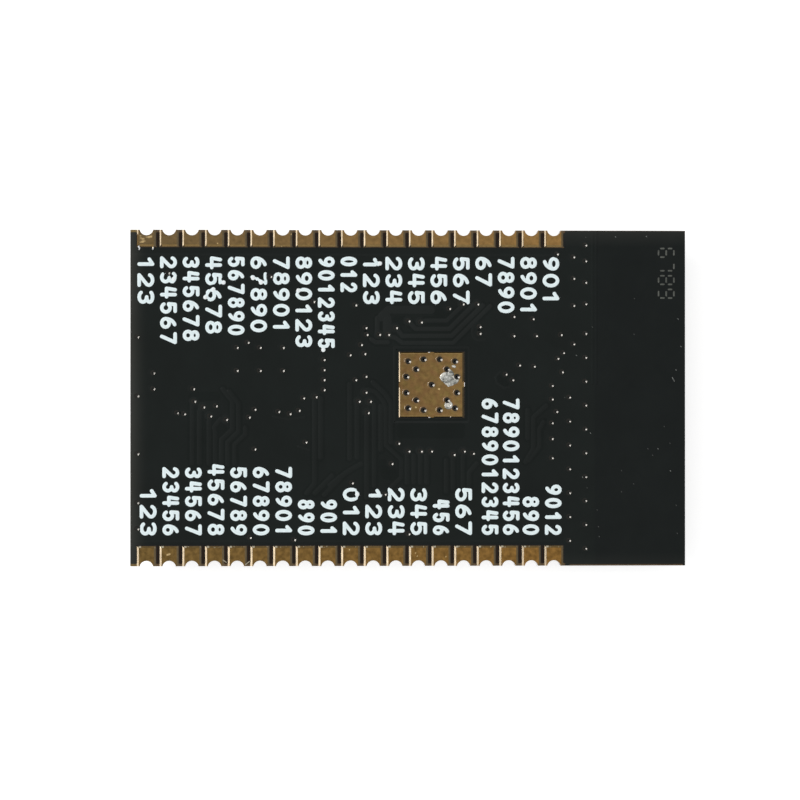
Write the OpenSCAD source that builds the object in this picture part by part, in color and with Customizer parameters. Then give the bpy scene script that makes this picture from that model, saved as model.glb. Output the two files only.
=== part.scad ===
// Castellated wireless audio module, lying on its shield can with the solder side up.
// Sizes are in millimetres. The origin is under the middle of the board, on the surface that
// the can rests on. +X runs along the board to its antenna end, and +Z leaves the solder side.

/* [Board] */
// Width of the board across its two terminal rows
board_w = 22.6; // [20:0.1:26]
// Thickness of the bare laminate
laminate_t = 0.9; // [0.6:0.1:1.6]
// Length of the copper-free antenna zone at the end of the board
antenna_zone_l = 6.05; // [5.6:0.05:9]
// Thickness of the exposed copper of the terminals, the ground pad and the antenna
copper_t = 0.07; // [0.05:0.01:0.12]
// Width of the sloped edge of an exposed pad
pad_bevel = 0.14; // [0.06:0.01:0.2]

/* [Solder mask] */
// Thickness of the solder mask and the copper pour under it
mask_t = 0.05; // [0.03:0.01:0.1]
// Gap between an exposed pad and the mask around it
mask_clear = 0.05; // [0.03:0.01:0.1]
// Distance of the mask from the milled edge along the terminal rows
mask_row_setback = 0.17; // [0.06:0.01:0.3]
// Distance of the mask from the board's other edges
mask_edge_setback = 0.03; // [0.02:0.01:0.1]

/* [Terminals] */
// Number of terminals in each row
terminals_per_row = 19; // [12:1:19]
// Distance between neighbouring terminals
pitch = 1.524; // [1.5:0.001:1.8]
// Distance from the end of the board to the first terminal's centre
row_start = 1.08; // [0.9:0.02:2]
// Distance from the last terminal's centre to the antenna zone
row_to_antenna = 2.84; // [2.6:0.02:4]
// Width of a terminal's pads
pad_w = 1.28; // [0.9:0.02:1.34]
// Length of a terminal's pads, from the board's edge inwards
pad_l = 1.24; // [1:0.02:1.8]
// Distance by which the terminals' copper lies off the milled outline, towards the north row
copper_shift = 0.12; // [0:0.01:0.15]
// Diameter of the plated half hole in the board's edge
notch_d = 0.92; // [0.6:0.02:0.94]
// Distance of the half hole's centre outside the board's edge
notch_out = 0.09; // [0:0.01:0.15]
// Thickness of the plating in the half holes
plating_t = 0.05; // [0.03:0.01:0.08]

/* [Ground pad and vias] */
// Side of the square ground pad
ground_pad_side = 4.42; // [4.2:0.02:5]
// Width of the four mask-covered necks that join the ground pad to the copper pour
neck_w = 0.38; // [0.2:0.02:0.6]
// Drilled diameter of the thermal vias in the ground pad
thermal_drill = 0.4; // [0.3:0.02:0.44]
// Drilled diameter of the other vias
via_drill = 0.34; // [0.26:0.02:0.4]
// Open diameter at the bottom of a via's mouth
via_bore = 0.14; // [0.1:0.02:0.2]
// Slope of a via's mouth, in degrees
via_slope = 27; // [15:1:40]
// Height of the solder splashes on the ground pad
splash_h = 0.08; // [0.04:0.01:0.15]

/* [Shield can] */
// Height of the can above the board
can_h = 2.2; // [2:0.1:3]
// Thickness of the can's sheet
can_sheet = 0.2; // [0.1:0.02:0.3]
// Outer radius of the can's folds
can_bend_r = 0.4; // [0.34:0.02:0.6]
// Distance from the end of the board to the can
can_setback = 0.9; // [0.6:0.05:1.4]
// Distance from the can to the antenna zone
can_to_antenna = 2.9; // [2.6:0.05:3.6]
// Distance from the can to the terminals' longer pads
can_to_terminals = 0.34; // [0.2:0.02:0.9]
// Height of the openings in the can's rim
rim_opening_h = 0.3; // [0.2:0.05:0.5]
// Width of the openings in the can's rim
rim_opening_w = 1.2; // [0.8:0.1:1.6]
// Distance between neighbouring openings along the can's long sides
rim_opening_step = 7.6; // [4:0.2:9]

/* [Antenna] */
// Width of the antenna's track
track_w = 0.5; // [0.3:0.05:0.6]
// Distance between the antenna's neighbouring strokes
stroke_step = 1.5; // [1.2:0.05:1.6]
// Number of strokes in the antenna's zigzag
strokes = 9; // [5:2:9]
// Distance from the antenna to the board's edges
antenna_margin = 0.6; // [0.4:0.05:0.9]
// Free width between the zigzag and the ground copper
antenna_root = 1.3; // [1.1:0.05:1.6]
// Distance between the middles of the antenna's matching parts
matching_step = 1; // [0.8:0.05:1.2]

/* [Chips] */
// Side of the processor's square package
processor_side = 5; // [4:0.1:5.6]
// Side of the audio codec's square package
codec_side = 5; // [4:0.1:5.6]
// Height of the two square packages
square_chip_h = 0.85; // [0.6:0.05:1]
// Length of the flash memory's package
flash_l = 6; // [5:0.1:6.4]
// Width of the flash memory's package
flash_w = 5; // [4:0.1:5.4]
// Height of the flash memory's package
flash_h = 0.75; // [0.5:0.05:1]
// Length of the memory chip with wing leads
ram_l = 4.9; // [4.5:0.1:5.2]
// Width of that chip's body, without its leads
ram_w = 3.9; // [3:0.1:4.2]
// Height of that chip above the board
ram_h = 1.45; // [1:0.05:1.5]
// Distance between that chip's neighbouring leads
ram_lead_step = 1.27; // [0.8:0.01:1.3]
// Length of a crystal's package
crystal_l = 3.2; // [2.5:0.1:3.4]
// Width of a crystal's package
crystal_w = 2.5; // [2:0.1:2.6]
// Height of a crystal's package
crystal_h = 0.75; // [0.5:0.05:1]
// Side of the power inductor
inductor_side = 3; // [2:0.1:3.2]
// Height of the power inductor
inductor_h = 1.2; // [0.8:0.1:1.4]
// Length of the small capacitors and resistors
passive_l = 1; // [0.6:0.05:1.05]
// Width of the small capacitors and resistors
passive_w = 0.5; // [0.3:0.05:0.6]
// Height of the small capacitors
capacitor_h = 0.5; // [0.3:0.05:0.8]
// Height of the small resistors
resistor_h = 0.35; // [0.2:0.05:0.5]

/* [Hidden] */
$fn = 48;
overcut = 1;

// The board's outline along X, from its plain end to its antenna end
row_l = (terminals_per_row - 1) * pitch;
board_l = row_start + row_l + row_to_antenna + antenna_zone_l;
x_end = -board_l / 2;
x_first = x_end + row_start;
x_row_end = x_first + row_l + pitch / 2;
x_zone = board_l / 2 - antenna_zone_l;
y_edge = board_w / 2;

// Levels along Z, from the surface under the can to the solder side
z_front = can_h + mask_t;
z_back = z_front + laminate_t;
z_mask = z_back + mask_t;
z_pads = z_back + copper_t;
z_parts = can_h;

// The can's outline and middle
can_l = board_l - can_setback - can_to_antenna - antenna_zone_l;
can_w = board_w - 2 * (pad_l + copper_shift + can_to_terminals);
can_x = x_end + can_setback + can_l / 2;
matching_x = x_zone - can_to_antenna / 2;

// Half holes and vias
notch_r = notch_d / 2;
thermal_r = thermal_drill / 2;
via_r = via_drill / 2;
bore_r = via_bore / 2;
function mouth_depth(r) = (r - bore_r) * tan(via_slope);
// A via's mouth is cut this far past its rim
mouth_over = 0.1;

// The parts under the can stand on a grid of half the terminal pitch, counted from the can's middle
grid = pitch / 2;
processor_at = [can_x + 7.32 * grid, 1.18 * grid];
codec_at = [can_x - 7.75 * grid, 3.43 * grid];
flash_at = [can_x - 1.2 * grid, -6.6 * grid];
ram_at = [can_x + 9.5 * grid, -7.4 * grid];
processor_crystal_at = [can_x + 12.6 * grid, 7.6 * grid];
codec_crystal_at = [can_x - 14.6 * grid, 9 * grid];
inductor_at = [can_x - 0.4 * grid, 8 * grid];

// Places of the thermal vias, from the ground pad's middle
ring_corner = 1.58;
ring_side = 1.71;
ring_step = 0.54;
inner_corner = 1.04;
thermal_offsets = concat(
    [[0, 0]],
    [for (sx = [-1, 1], sy = [-1, 1]) [sx * ring_corner, sy * ring_corner]],
    [for (sx = [-1, 1], sy = [-1, 1]) [sx * inner_corner, sy * inner_corner]],
    [for (sx = [-1, 1], sy = [-1, 1]) [sx * ring_step, sy * ring_side]],
    [for (sx = [-1, 1], sy = [-1, 1]) [sx * ring_side, sy * ring_step]]
);
ground_pad_at = [processor_at.x, processor_at.y];

// Rows and fields of vias that repeat at an even step
stitch_step = 1.61;
stitch_outer = x_zone - 0.76;
stitch_inner = x_zone - 1.85;
stitch_shift = 0.28;
stitch_columns = concat(
    [for (i = [-6 : 3]) [stitch_outer, (i - 0.29) * stitch_step]],
    [for (i = [-6 : 0]) [stitch_inner, (i + 0.04) * stitch_step]],
    [for (y = [13.5, 12.1, 10.2, 8.3]) [stitch_outer, (y + 0.05) * grid]],
    [for (y = [12.5, 10.6, 8.2, 4.8]) [stitch_inner + stitch_shift, y * grid]]
);
// The vias' grid stands a little off from the parts' grid
via_shift = [-0.17 * grid, 0.02 * grid];
codec_step = 1.55;
codec_field = [for (i = [-1 : 1], j = [0, 1])
    [codec_at.x + i * codec_step, codec_at.y + (j - 0.5) * codec_step] + via_shift];
supply_step = 0.675;
supply_column = [for (i = [0 : 4]) [-7.4 * grid, 0.72 * grid + i * supply_step] + via_shift];
end_column = [for (y = [5.4, 0.2, -4.9, -9.2, -11.5]) [x_end + 0.43, y * grid]];

// Vias of single tracks, at the places on the grid where the tracks change side
signal_places = [
    [-22.4, 2.2], [-22.4, 0.8], [-18.9, 0.8], [-18.8, -0.3], [-18, -0.8], [-16.9, -0.7],
    [-17.4, -1.6], [-16, -1.9], [-14, -1.7], [-13.5, -1], [-20.3, -1.3], [-19.7, -1.4],
    [-13.5, -4.5], [-16.2, 10.2], [-12.1, 10.7], [-14.1, 4.9], [-21.1, 11], [-20.6, 10.5],
    [-17.1, 9.6], [-17.8, 8.9], [-12.9, 10.2], [-13.6, 10.6], [-9.6, 9.5], [-8.3, 8.5],
    [-11.4, -1.2], [-10.4, -1.4], [-9.6, -1.1], [-9.2, 0], [-8.1, 0.1], [-9, -3.9], [-2.4, 11.9],
    [-4.6, 8.2], [-3.7, 6.2], [-3.6, 5.6], [-2.5, 5.6], [-1.7, 5.6], [-1, 6.2], [0.1, 6.8],
    [1.2, 6.7], [-4.1, 4.7], [-5.1, 3.8], [-3.8, 3.9], [-4.6, 1.6], [-3.7, 1.9], [-3.7, 0.5],
    [-4.3, -0.3], [-3.3, -0.3], [-3.5, -1.3], [-4.9, -7.5], [-4.4, -8.5], [-2, -8.5],
    [-1.4, -5.8], [-0.8, -4], [0.1, -4.7], [1.2, -4.7], [2.1, -4.7], [4.1, -5], [5, -4.7],
    [5.8, -4.9], [0.1, -12], [-13.9, -12.3], [-10, -12.5], [3.7, 7.9], [4.9, 8.3], [6.2, 8.3],
    [6.4, 6.3], [6.4, 5.7], [9.4, 7.2], [11.1, 7], [9.4, 5.5], [11.4, 5.5], [13.6, 5.6],
    [13.8, 4], [13.3, 3.5], [9.9, 2.9], [11.2, 2.8], [13.7, 2.3], [8.7, 2.1], [9.3, 1.6],
    [12.8, 1.1], [12.8, -0.1], [13.2, -1.2], [12.8, -2.2], [12.8, -3.6], [12.8, -5.3],
    [13.25, 12.73]
];
signal_vias = [for (p = signal_places) grid * p + via_shift];

// A via is drilled only where its barrel stays clear of the exposed pads and the mask's edges
function off_the_rows(p) = abs(p.y - copper_shift) < y_edge - pad_l - mask_clear - 0.75 * via_drill;
function past_the_rows(p) = p.x > x_row_end + via_drill && abs(p.y) < y_edge - via_drill;
function off_the_pad(p) =
    max(abs(p.x - ground_pad_at.x), abs(p.y - ground_pad_at.y))
        > ground_pad_side / 2 + mask_clear + via_drill;
function on_the_copper(p) = p.x > x_end + via_drill && p.x < x_zone - via_drill;
vias = [for (p = concat(stitch_columns, codec_field, supply_column, end_column, signal_vias))
    if (on_the_copper(p) && off_the_pad(p) && (off_the_rows(p) || past_the_rows(p))) p];

// The terminals' names and places: row 0 is the north row, at +Y, and row 1 the south row
rows = [["north", 1], ["south", -1]];
function two_digits(n) = n < 10 ? str("0", n) : str(n);
function terminal_name(row, i) = str("terminal_", rows[row][0], "_", two_digits(i + 1));
// Inner end of a row's pads, from the board's edge
function pad_inner(row) = -pad_l + rows[row][1] * copper_shift;

// Shared shapes

// Puts its children at a terminal's place, with +Y outwards and the board's edge at Y 0
module at_terminal(row, i) {
    translate([x_first + i * pitch, rows[row][1] * y_edge, 0])
        rotate(row == 0 ? 0 : 180)
            children();
}

module at_all_terminals() {
    for (row = [0, 1], i = [0 : terminals_per_row - 1])
        at_terminal(row, i)
            children();
}

// Plate with sloped edges, its wide face down; X and Y give the low and high limits of that face
module bevelled_plate(x, y, slopes) {
    intersection() {
        translate([0, y[1], 0])
            rotate([90, 0, 0])
                linear_extrude(y[1] - y[0])
                    polygon([[x[0], 0], [x[1], 0], [x[1] - pad_bevel, copper_t], [x[0] + pad_bevel, copper_t]]);
        translate([x[0], 0, 0])
            rotate([90, 0, 90])
                linear_extrude(x[1] - x[0])
                    polygon([[y[0], 0], [y[1], 0], [y[1] - slopes * pad_bevel, copper_t],
                             [y[0] + pad_bevel, copper_t]]);
    }
}

// The space inside a plated via: a straight bore under a sloped mouth that opens at the level top
module via_space(r, top, bottom) {
    translate([0, 0, bottom - overcut])
        cylinder(r = bore_r, h = top - bottom + overcut);
    translate([0, 0, top - mouth_depth(r)])
        cylinder(r1 = bore_r, r2 = r + mouth_over, h = mouth_depth(r + mouth_over));
}

// A block with its four bottom edges rounded
module folded_block(l, w, h, r) {
    intersection() {
        translate([0, w / 2, 0])
            rotate([90, 0, 0])
                linear_extrude(w)
                    folded_profile(l, h, r);
        translate([-l / 2, 0, 0])
            rotate([90, 0, 90])
                linear_extrude(l)
                    folded_profile(w, h, r);
    }
}

module folded_profile(l, h, r) {
    translate([-l / 2, r])
        square([l, h - r]);
    translate([-l / 2 + r, 0])
        square([l - 2 * r, h]);
    for (side = [-1, 1])
        translate([side * (l / 2 - r), r])
            circle(r);
}

// Puts its children on the board's front side, with +Z away from the board
module on_front(at, turn = 0) {
    translate([at.x, at.y, z_parts])
        mirror([0, 0, 1])
            rotate(turn)
                children();
}

// Board

module board() {
    color("darkgoldenrod")
        difference() {
            translate([x_end, -y_edge, z_front])
                cube([board_l, board_w, laminate_t]);
            at_all_terminals()
                translate([0, notch_out, z_front - overcut])
                    cylinder(r = notch_r + plating_t, h = laminate_t + 2 * overcut);
            for (p = thermal_offsets)
                translate([ground_pad_at.x + p.x, ground_pad_at.y + p.y, z_front - overcut])
                    cylinder(r = thermal_r, h = laminate_t + 2 * overcut);
            for (p = vias)
                translate([p.x, p.y, z_front - overcut])
                    cylinder(r = via_r, h = laminate_t + 2 * overcut);
        }
}

// Outline of a mask layer: it keeps further from the edge along the terminal rows
module mask_outline() {
    y_row = y_edge - mask_row_setback;
    y_plain = y_edge - mask_edge_setback;
    x_low = x_end + mask_edge_setback;
    x_high = board_l / 2 - mask_edge_setback;
    polygon([[x_low, -y_row], [x_row_end, -y_row], [x_row_end, -y_plain], [x_high, -y_plain],
             [x_high, y_plain], [x_row_end, y_plain], [x_row_end, y_row], [x_low, y_row]]);
}

module terminal_openings(level) {
    for (row = [0, 1], i = [0 : terminals_per_row - 1])
        at_terminal(row, i)
            translate([-pad_w / 2 - mask_clear, pad_inner(row) - mask_clear, level - overcut])
                cube([pad_w + 2 * mask_clear, overcut + mask_clear - pad_inner(row), mask_t + 2 * overcut]);
}

// Outline of the necks: each runs from the ground pad's flat face to the edge of its opening
module pad_necks() {
    for (turn = [0, 90, 180, 270])
        rotate(turn)
            translate([ground_pad_side / 2 - pad_bevel, -neck_w / 2])
                square([pad_bevel + mask_clear, neck_w]);
}

module ground_pad_opening() {
    translate(ground_pad_at)
        difference() {
            square(ground_pad_side + 2 * mask_clear, center = true);
            pad_necks();
        }
}

module solder_mask_back() {
    color("#1b1d1e")
        difference() {
            translate([0, 0, z_back])
                linear_extrude(mask_t)
                    mask_outline();
            terminal_openings(z_back);
            translate([0, 0, z_back - overcut])
                linear_extrude(mask_t + 2 * overcut)
                    ground_pad_opening();
            for (p = vias)
                translate([p.x, p.y, z_back - overcut])
                    cylinder(r = via_r, h = mask_t + 2 * overcut);
        }
}

module solder_mask_front() {
    color("#1b1d1e")
        difference() {
            translate([0, 0, z_front - mask_t])
                linear_extrude(mask_t)
                    mask_outline();
            terminal_openings(z_front - mask_t);
            translate([0, 0, z_front - mask_t - overcut])
                linear_extrude(mask_t + 2 * overcut)
                    antenna_outline(track_w + 2 * mask_clear);
        }
}

// Exposed copper

module terminal(row, i) {
    color("#82673c")
        at_terminal(row, i)
            difference() {
                union() {
                    translate([0, 0, z_back])
                        terminal_pad(row);
                    translate([0, 0, z_front])
                        mirror([0, 0, 1])
                            terminal_pad(row);
                    half_hole_sleeve();
                }
                translate([0, notch_out, 0])
                    cylinder(r = notch_r, h = z_pads + overcut);
            }
}

module terminal_pad(row) {
    bevelled_plate([-pad_w / 2, pad_w / 2], [pad_inner(row), 0], 0);
}

module half_hole_sleeve() {
    intersection() {
        translate([0, notch_out, z_front])
            cylinder(r = notch_r + plating_t, h = laminate_t);
        translate([-pad_w / 2, -pad_l, z_front])
            cube([pad_w, pad_l, laminate_t]);
    }
}

module ground_pad() {
    half = ground_pad_side / 2;
    color("#82673c")
        translate([ground_pad_at.x, ground_pad_at.y, 0])
            difference() {
                union() {
                    translate([0, 0, z_back])
                        bevelled_plate([-half, half], [-half, half], 1);
                    for (p = thermal_offsets)
                        translate([p.x, p.y, z_front])
                            cylinder(r = thermal_r, h = laminate_t);
                }
                translate([0, 0, z_back - overcut])
                    linear_extrude(copper_t + 2 * overcut)
                        pad_necks();
                for (p = thermal_offsets)
                    translate([p.x, p.y, 0])
                        via_space(thermal_r, z_pads, z_front);
            }
}

module via_barrels() {
    color("#c8c2b0")
        for (p = vias)
            translate([p.x, p.y, 0])
                difference() {
                    translate([0, 0, z_front])
                        cylinder(r = via_r, h = z_mask - z_front);
                    via_space(via_r, z_mask, z_front);
                }
}

// Flat drops of solder that came up through the thermal vias: X, Y and radius of their lobes
module solder_splashes() {
    large = [[0.95, 0.42, 0.36], [1.2, 0.28, 0.36], [1.45, 0.2, 0.24], [1.15, 0.72, 0.22]];
    small = [[1.16, -1.38, 0.28]];
    fleck = [[1.52, 1.2, 0.13]];
    color("#b9bcbd")
        translate([ground_pad_at.x, ground_pad_at.y, z_pads])
            for (drop = [large, small, fleck])
                difference() {
                    union()
                        for (c = drop)
                            translate([c[0], c[1], 0])
                                cylinder(r1 = c[2], r2 = 0.6 * c[2], h = splash_h);
                    for (p = thermal_offsets)
                        translate([p.x, p.y, -overcut])
                            cylinder(r = thermal_r, h = splash_h + 2 * overcut);
                }
}

// Antenna, on the front side

module track(from, to, w) {
    low = [min(from.x, to.x) - w / 2, min(from.y, to.y) - w / 2];
    high = [max(from.x, to.x) + w / 2, max(from.y, to.y) + w / 2];
    translate(low)
        square(high - low);
}

// Feed and ground stubs, then a zigzag towards the south edge
function stroke_y(i) = y_edge - antenna_margin - track_w / 2 - i * stroke_step;
module antenna_outline(w) {
    x_out = board_l / 2 - antenna_margin - track_w / 2;
    x_in = x_zone + antenna_root + track_w / 2;
    stub = matching_x + passive_l / 2 + 2 * mask_clear + track_w / 2;
    track([stub, stroke_y(0)], [x_out, stroke_y(0)], w);
    track([stub, stroke_y(2)], [x_in, stroke_y(2)], w);
    for (i = [0 : strokes]) {
        track([x_in, stroke_y(i)], [x_out, stroke_y(i)], w);
        if (i < strokes)
            track([i % 2 == 0 ? x_out : x_in, stroke_y(i)], [i % 2 == 0 ? x_out : x_in, stroke_y(i + 1)], w);
    }
}

module antenna_track() {
    color("#26282a")
        translate([0, 0, z_front - copper_t])
            linear_extrude(copper_t)
                antenna_outline(track_w);
}

// Parts on the front side

// Chip with flat contacts around its underside: counts along X and Y
module flat_chip(l, w, h, counts, step) {
    contact = [step / 2, 0.4, 0.05];
    dot_r = 0.25;
    dot_depth = 0.05;
    difference() {
        translate([-l / 2, -w / 2, contact.z])
            cube([l, w, h - contact.z]);
        translate([-l / 2 + 3 * dot_r, w / 2 - 3 * dot_r, h - dot_depth])
            cylinder(r = dot_r, h = dot_depth + overcut);
    }
    for (side = [-1, 1]) {
        contact_row(counts.x, step, contact, side * (w / 2 - contact.y / 2));
        rotate(90)
            contact_row(counts.y, step, contact, side * (l / 2 - contact.y / 2));
    }
}

module contact_row(count, step, contact, y) {
    if (count > 0)
        for (i = [0 : count - 1])
            translate([(i - (count - 1) / 2) * step - contact.x / 2, y - contact.y / 2, 0])
                cube(contact);
}

module processor_chip() {
    color("#2b2b2d")
        on_front(processor_at)
            flat_chip(processor_side, processor_side, square_chip_h, [12, 12], 0.35);
}

module audio_codec_chip() {
    color("#2b2b2d")
        on_front(codec_at)
            flat_chip(codec_side, codec_side, square_chip_h, [7, 7], 0.5);
}

module flash_memory_chip() {
    color("#2b2b2d")
        on_front(flash_at)
            flat_chip(flash_l, flash_w, flash_h, [0, 4], 1.1);
}

// Chip with four wing leads on each long side
module ram_chip() {
    lead_w = 0.42;
    lead_t = 0.2;
    reach = 1.05;
    foot = 0.5;
    raise = 0.12;
    knee = ram_h / 2;
    color("#2b2b2d")
        on_front(ram_at) {
            translate([-ram_l / 2, -ram_w / 2, raise])
                cube([ram_l, ram_w, ram_h - raise]);
            for (turn = [0, 180], i = [-1.5 : 1.5])
                rotate(turn)
                    translate([i * ram_lead_step - lead_w / 2, ram_w / 2, 0])
                        rotate([90, 0, 90])
                            linear_extrude(lead_w)
                                polygon([[0, knee], [reach - foot, knee], [reach - foot, lead_t],
                                         [reach, lead_t], [reach, 0], [reach - foot - lead_t, 0],
                                         [reach - foot - lead_t, knee - lead_t], [0, knee - lead_t]]);
        }
}

// Ceramic tray with a metal lid
module crystal() {
    lid_inset = 0.15;
    tray_h = crystal_h / 2;
    translate([-crystal_l / 2, -crystal_w / 2, 0])
        cube([crystal_l, crystal_w, tray_h]);
    translate([-crystal_l / 2 + lid_inset, -crystal_w / 2 + lid_inset, tray_h])
        cube([crystal_l - 2 * lid_inset, crystal_w - 2 * lid_inset, crystal_h - tray_h]);
}

module processor_crystal() {
    color("#c9c7bd")
        on_front(processor_crystal_at)
            crystal();
}

module codec_crystal() {
    color("#c9c7bd")
        on_front(codec_crystal_at)
            crystal();
}

// Moulded block on two wrapped end terminals
module power_inductor() {
    wrap = 0.8;
    skin = 0.08;
    color("#4a4a4c")
        on_front(inductor_at) {
            translate([-inductor_side / 2, -inductor_side / 2, skin])
                cube([inductor_side, inductor_side, inductor_h - skin]);
            for (side = [-1, 1])
                translate([side * (inductor_side - wrap) / 2 - wrap / 2, -inductor_side / 2, 0])
                    cube([wrap, inductor_side, skin]);
        }
}

// Small ceramic block between two metal end caps
module passive(h) {
    cap_l = passive_l / 4;
    skin = 0.02;
    translate([-passive_l / 2, -passive_w / 2 + skin, skin])
        cube([passive_l, passive_w - 2 * skin, h - 2 * skin]);
    for (side = [-1, 1])
        translate([side * (passive_l - cap_l) / 2 - cap_l / 2, -passive_w / 2, 0])
            cube([cap_l, passive_w, h]);
}

// Row of passives beside a chip, each across the row
module passive_row(at, count, h) {
    for (i = [0 : count - 1])
        on_front([at.x + (i - (count - 1) / 2) * passive_step, at.y], 90)
            passive(h);
}

// Distance from a chip's edge to the middle of the row of passives beside it, and along the row
row_off = 0.9;
passive_step = 0.92;

module capacitors() {
    color("#a58a68") {
        passive_row([processor_at.x, processor_at.y + processor_side / 2 + row_off], 5, capacitor_h);
        passive_row([codec_at.x, codec_at.y + codec_side / 2 + row_off], 5, capacitor_h);
        passive_row([codec_at.x, codec_at.y - codec_side / 2 - row_off], 5, capacitor_h);
        passive_row([flash_at.x, flash_at.y + flash_w / 2 + row_off], 4, capacitor_h);
        passive_row([inductor_at.x, inductor_at.y - inductor_side / 2 - row_off], 3, capacitor_h);
    }
}

module resistors() {
    count = 6;
    half_row = ((count - 1) * passive_step + passive_w) / 2;
    x = flash_at.x - flash_l / 2 - row_off - half_row;
    color("#3a3b40") {
        for (i = [0, 1])
            passive_row([x, flash_at.y + (i - 0.5) * 2 * row_off], count, resistor_h);
        passive_row([processor_crystal_at.x, processor_crystal_at.y - crystal_w / 2 - row_off], 2, resistor_h);
    }
}

// One part in line with the antenna's feed and two beside it, outside the can
module antenna_matching_parts() {
    color("#a58a68")
        for (i = [0 : 2])
            on_front([matching_x, stroke_y(2) - i * matching_step])
                passive(capacitor_h);
}

// Can, folded from one sheet, with open corners and openings in its rim
module shield_can() {
    corner = can_bend_r;
    color("#c4c6c8")
        translate([can_x, 0, 0])
            difference() {
                folded_block(can_l, can_w, can_h, can_bend_r);
                translate([0, 0, can_sheet])
                    folded_block(can_l - 2 * can_sheet, can_w - 2 * can_sheet, can_h, can_bend_r - can_sheet);
                for (sx = [-1, 1], sy = [-1, 1])
                    translate([sx * can_l / 2 - corner, sy * can_w / 2 - corner, -overcut])
                        cube([2 * corner, 2 * corner, can_h + 2 * overcut]);
                for (i = [-1 : 1])
                    rim_opening(i * rim_opening_step, can_w + 2 * overcut, 90);
                rim_opening(0, can_l + 2 * overcut, 0);
            }
}

// A slot through both opposite walls, open at the rim
module rim_opening(at, reach, turn) {
    rotate(turn)
        translate([-reach / 2, -at - rim_opening_w / 2, can_h - rim_opening_h])
            cube([reach, rim_opening_w, rim_opening_h + overcut]);
}

board();
solder_mask_back();
solder_mask_front();
ground_pad();
via_barrels();
solder_splashes();
shield_can();
antenna_track();
antenna_matching_parts();
processor_chip();
audio_codec_chip();
flash_memory_chip();
ram_chip();
processor_crystal();
codec_crystal();
power_inductor();
capacitors();
resistors();
for (row = [0, 1], i = [0 : terminals_per_row - 1])
    terminal(row, i);
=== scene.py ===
"""Looks of a castellated wireless audio module that lies on its shield can, solder side up.

Pieces are drawn in millimetres in the part's own frame and scaled to metres when they are done.
"""

import math
from contextlib import contextmanager

import bpy
from mathutils import Matrix, Vector
from mathutils.geometry import intersect_point_line


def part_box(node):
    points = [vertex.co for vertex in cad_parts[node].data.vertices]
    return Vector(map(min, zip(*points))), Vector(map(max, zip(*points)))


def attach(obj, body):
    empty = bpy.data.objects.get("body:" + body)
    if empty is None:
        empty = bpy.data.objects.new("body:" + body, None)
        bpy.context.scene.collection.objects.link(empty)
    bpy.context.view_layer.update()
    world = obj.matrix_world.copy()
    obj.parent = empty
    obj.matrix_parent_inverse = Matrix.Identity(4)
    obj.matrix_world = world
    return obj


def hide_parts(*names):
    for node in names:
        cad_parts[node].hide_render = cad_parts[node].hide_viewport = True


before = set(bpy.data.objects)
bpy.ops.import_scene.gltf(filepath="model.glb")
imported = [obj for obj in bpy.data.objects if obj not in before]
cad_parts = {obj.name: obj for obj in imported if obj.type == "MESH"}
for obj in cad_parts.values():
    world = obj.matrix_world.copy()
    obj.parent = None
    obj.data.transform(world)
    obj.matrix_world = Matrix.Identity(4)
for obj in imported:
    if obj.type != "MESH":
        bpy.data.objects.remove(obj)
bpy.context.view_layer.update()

MM = 0.001


def box_mm(node):
    """Lowest and highest corner of a node, in millimetres."""
    low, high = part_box(node)
    return low / MM, high / MM


# Levels and places that the pieces sit on
BOARD_LOW, BOARD_HIGH = box_mm("board")
MASK_TOP = box_mm("solder_mask_back")[1].z
PAD_LOW, PAD_HIGH = box_mm("ground_pad")
PAD_TOP = PAD_HIGH.z
PAD_MIDDLE = (PAD_LOW + PAD_HIGH) / 2
SOLDER_TOP = box_mm("solder_splashes")[1].z
PARTS_LOW, PARTS_HIGH = box_mm("antenna_matching_parts")
NORTH_INNER = box_mm("terminal_north_01")[0].y
SOUTH_INNER = box_mm("terminal_south_01")[1].y
# The copper pour ends at the antenna end, and its edges along the rows end before that
ANTENNA_LENGTH = 6.14
POUR_END = BOARD_HIGH.x - ANTENNA_LENGTH
POUR_EDGE_END = 9.9
# Bare laminate along the milled long edges
MILLED_STRIP = 0.19
# Points closer than this, in millimetres, are one point
SAME_POINT = 0.001


def pin_middle(row, pin):
    """Middle of a terminal, in millimetres; pins count from 0."""
    low, high = box_mm(f"terminal_{row}_{pin + 1:02d}")
    return (low + high) / 2


LAST_PIN = 18
PITCH = (pin_middle("south", LAST_PIN).x - pin_middle("south", 0).x) / LAST_PIN
ROW_MIDDLE = pin_middle("south", LAST_PIN // 2).x
TERMINAL_REACH = 0.6
ROW_HALF = LAST_PIN / 2 * PITCH + TERMINAL_REACH


# Modelling steps

def select_only(piece):
    bpy.ops.object.select_all(action="DESELECT")
    piece.select_set(True)
    bpy.context.view_layer.objects.active = piece


@contextmanager
def editing(piece):
    """Edit mode on one piece, with all of it selected."""
    select_only(piece)
    bpy.ops.object.mode_set(mode="EDIT")
    bpy.ops.mesh.select_all(action="SELECT")
    yield
    bpy.ops.object.mode_set(mode="OBJECT")


def join_pieces(pieces, name):
    """One piece out of several, under the given name."""
    bpy.ops.object.select_all(action="DESELECT")
    for piece in pieces:
        piece.select_set(True)
    bpy.context.view_layer.objects.active = pieces[0]
    if len(pieces) > 1:
        bpy.ops.object.join()
    joined = bpy.context.object
    joined.name = name
    return joined


def apply_modifier(piece, kind, **settings):
    modifier = piece.modifiers.new(kind.lower(), kind)
    for key, value in settings.items():
        setattr(modifier, key, value)
    select_only(piece)
    bpy.ops.object.modifier_apply(modifier=modifier.name)


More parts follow.
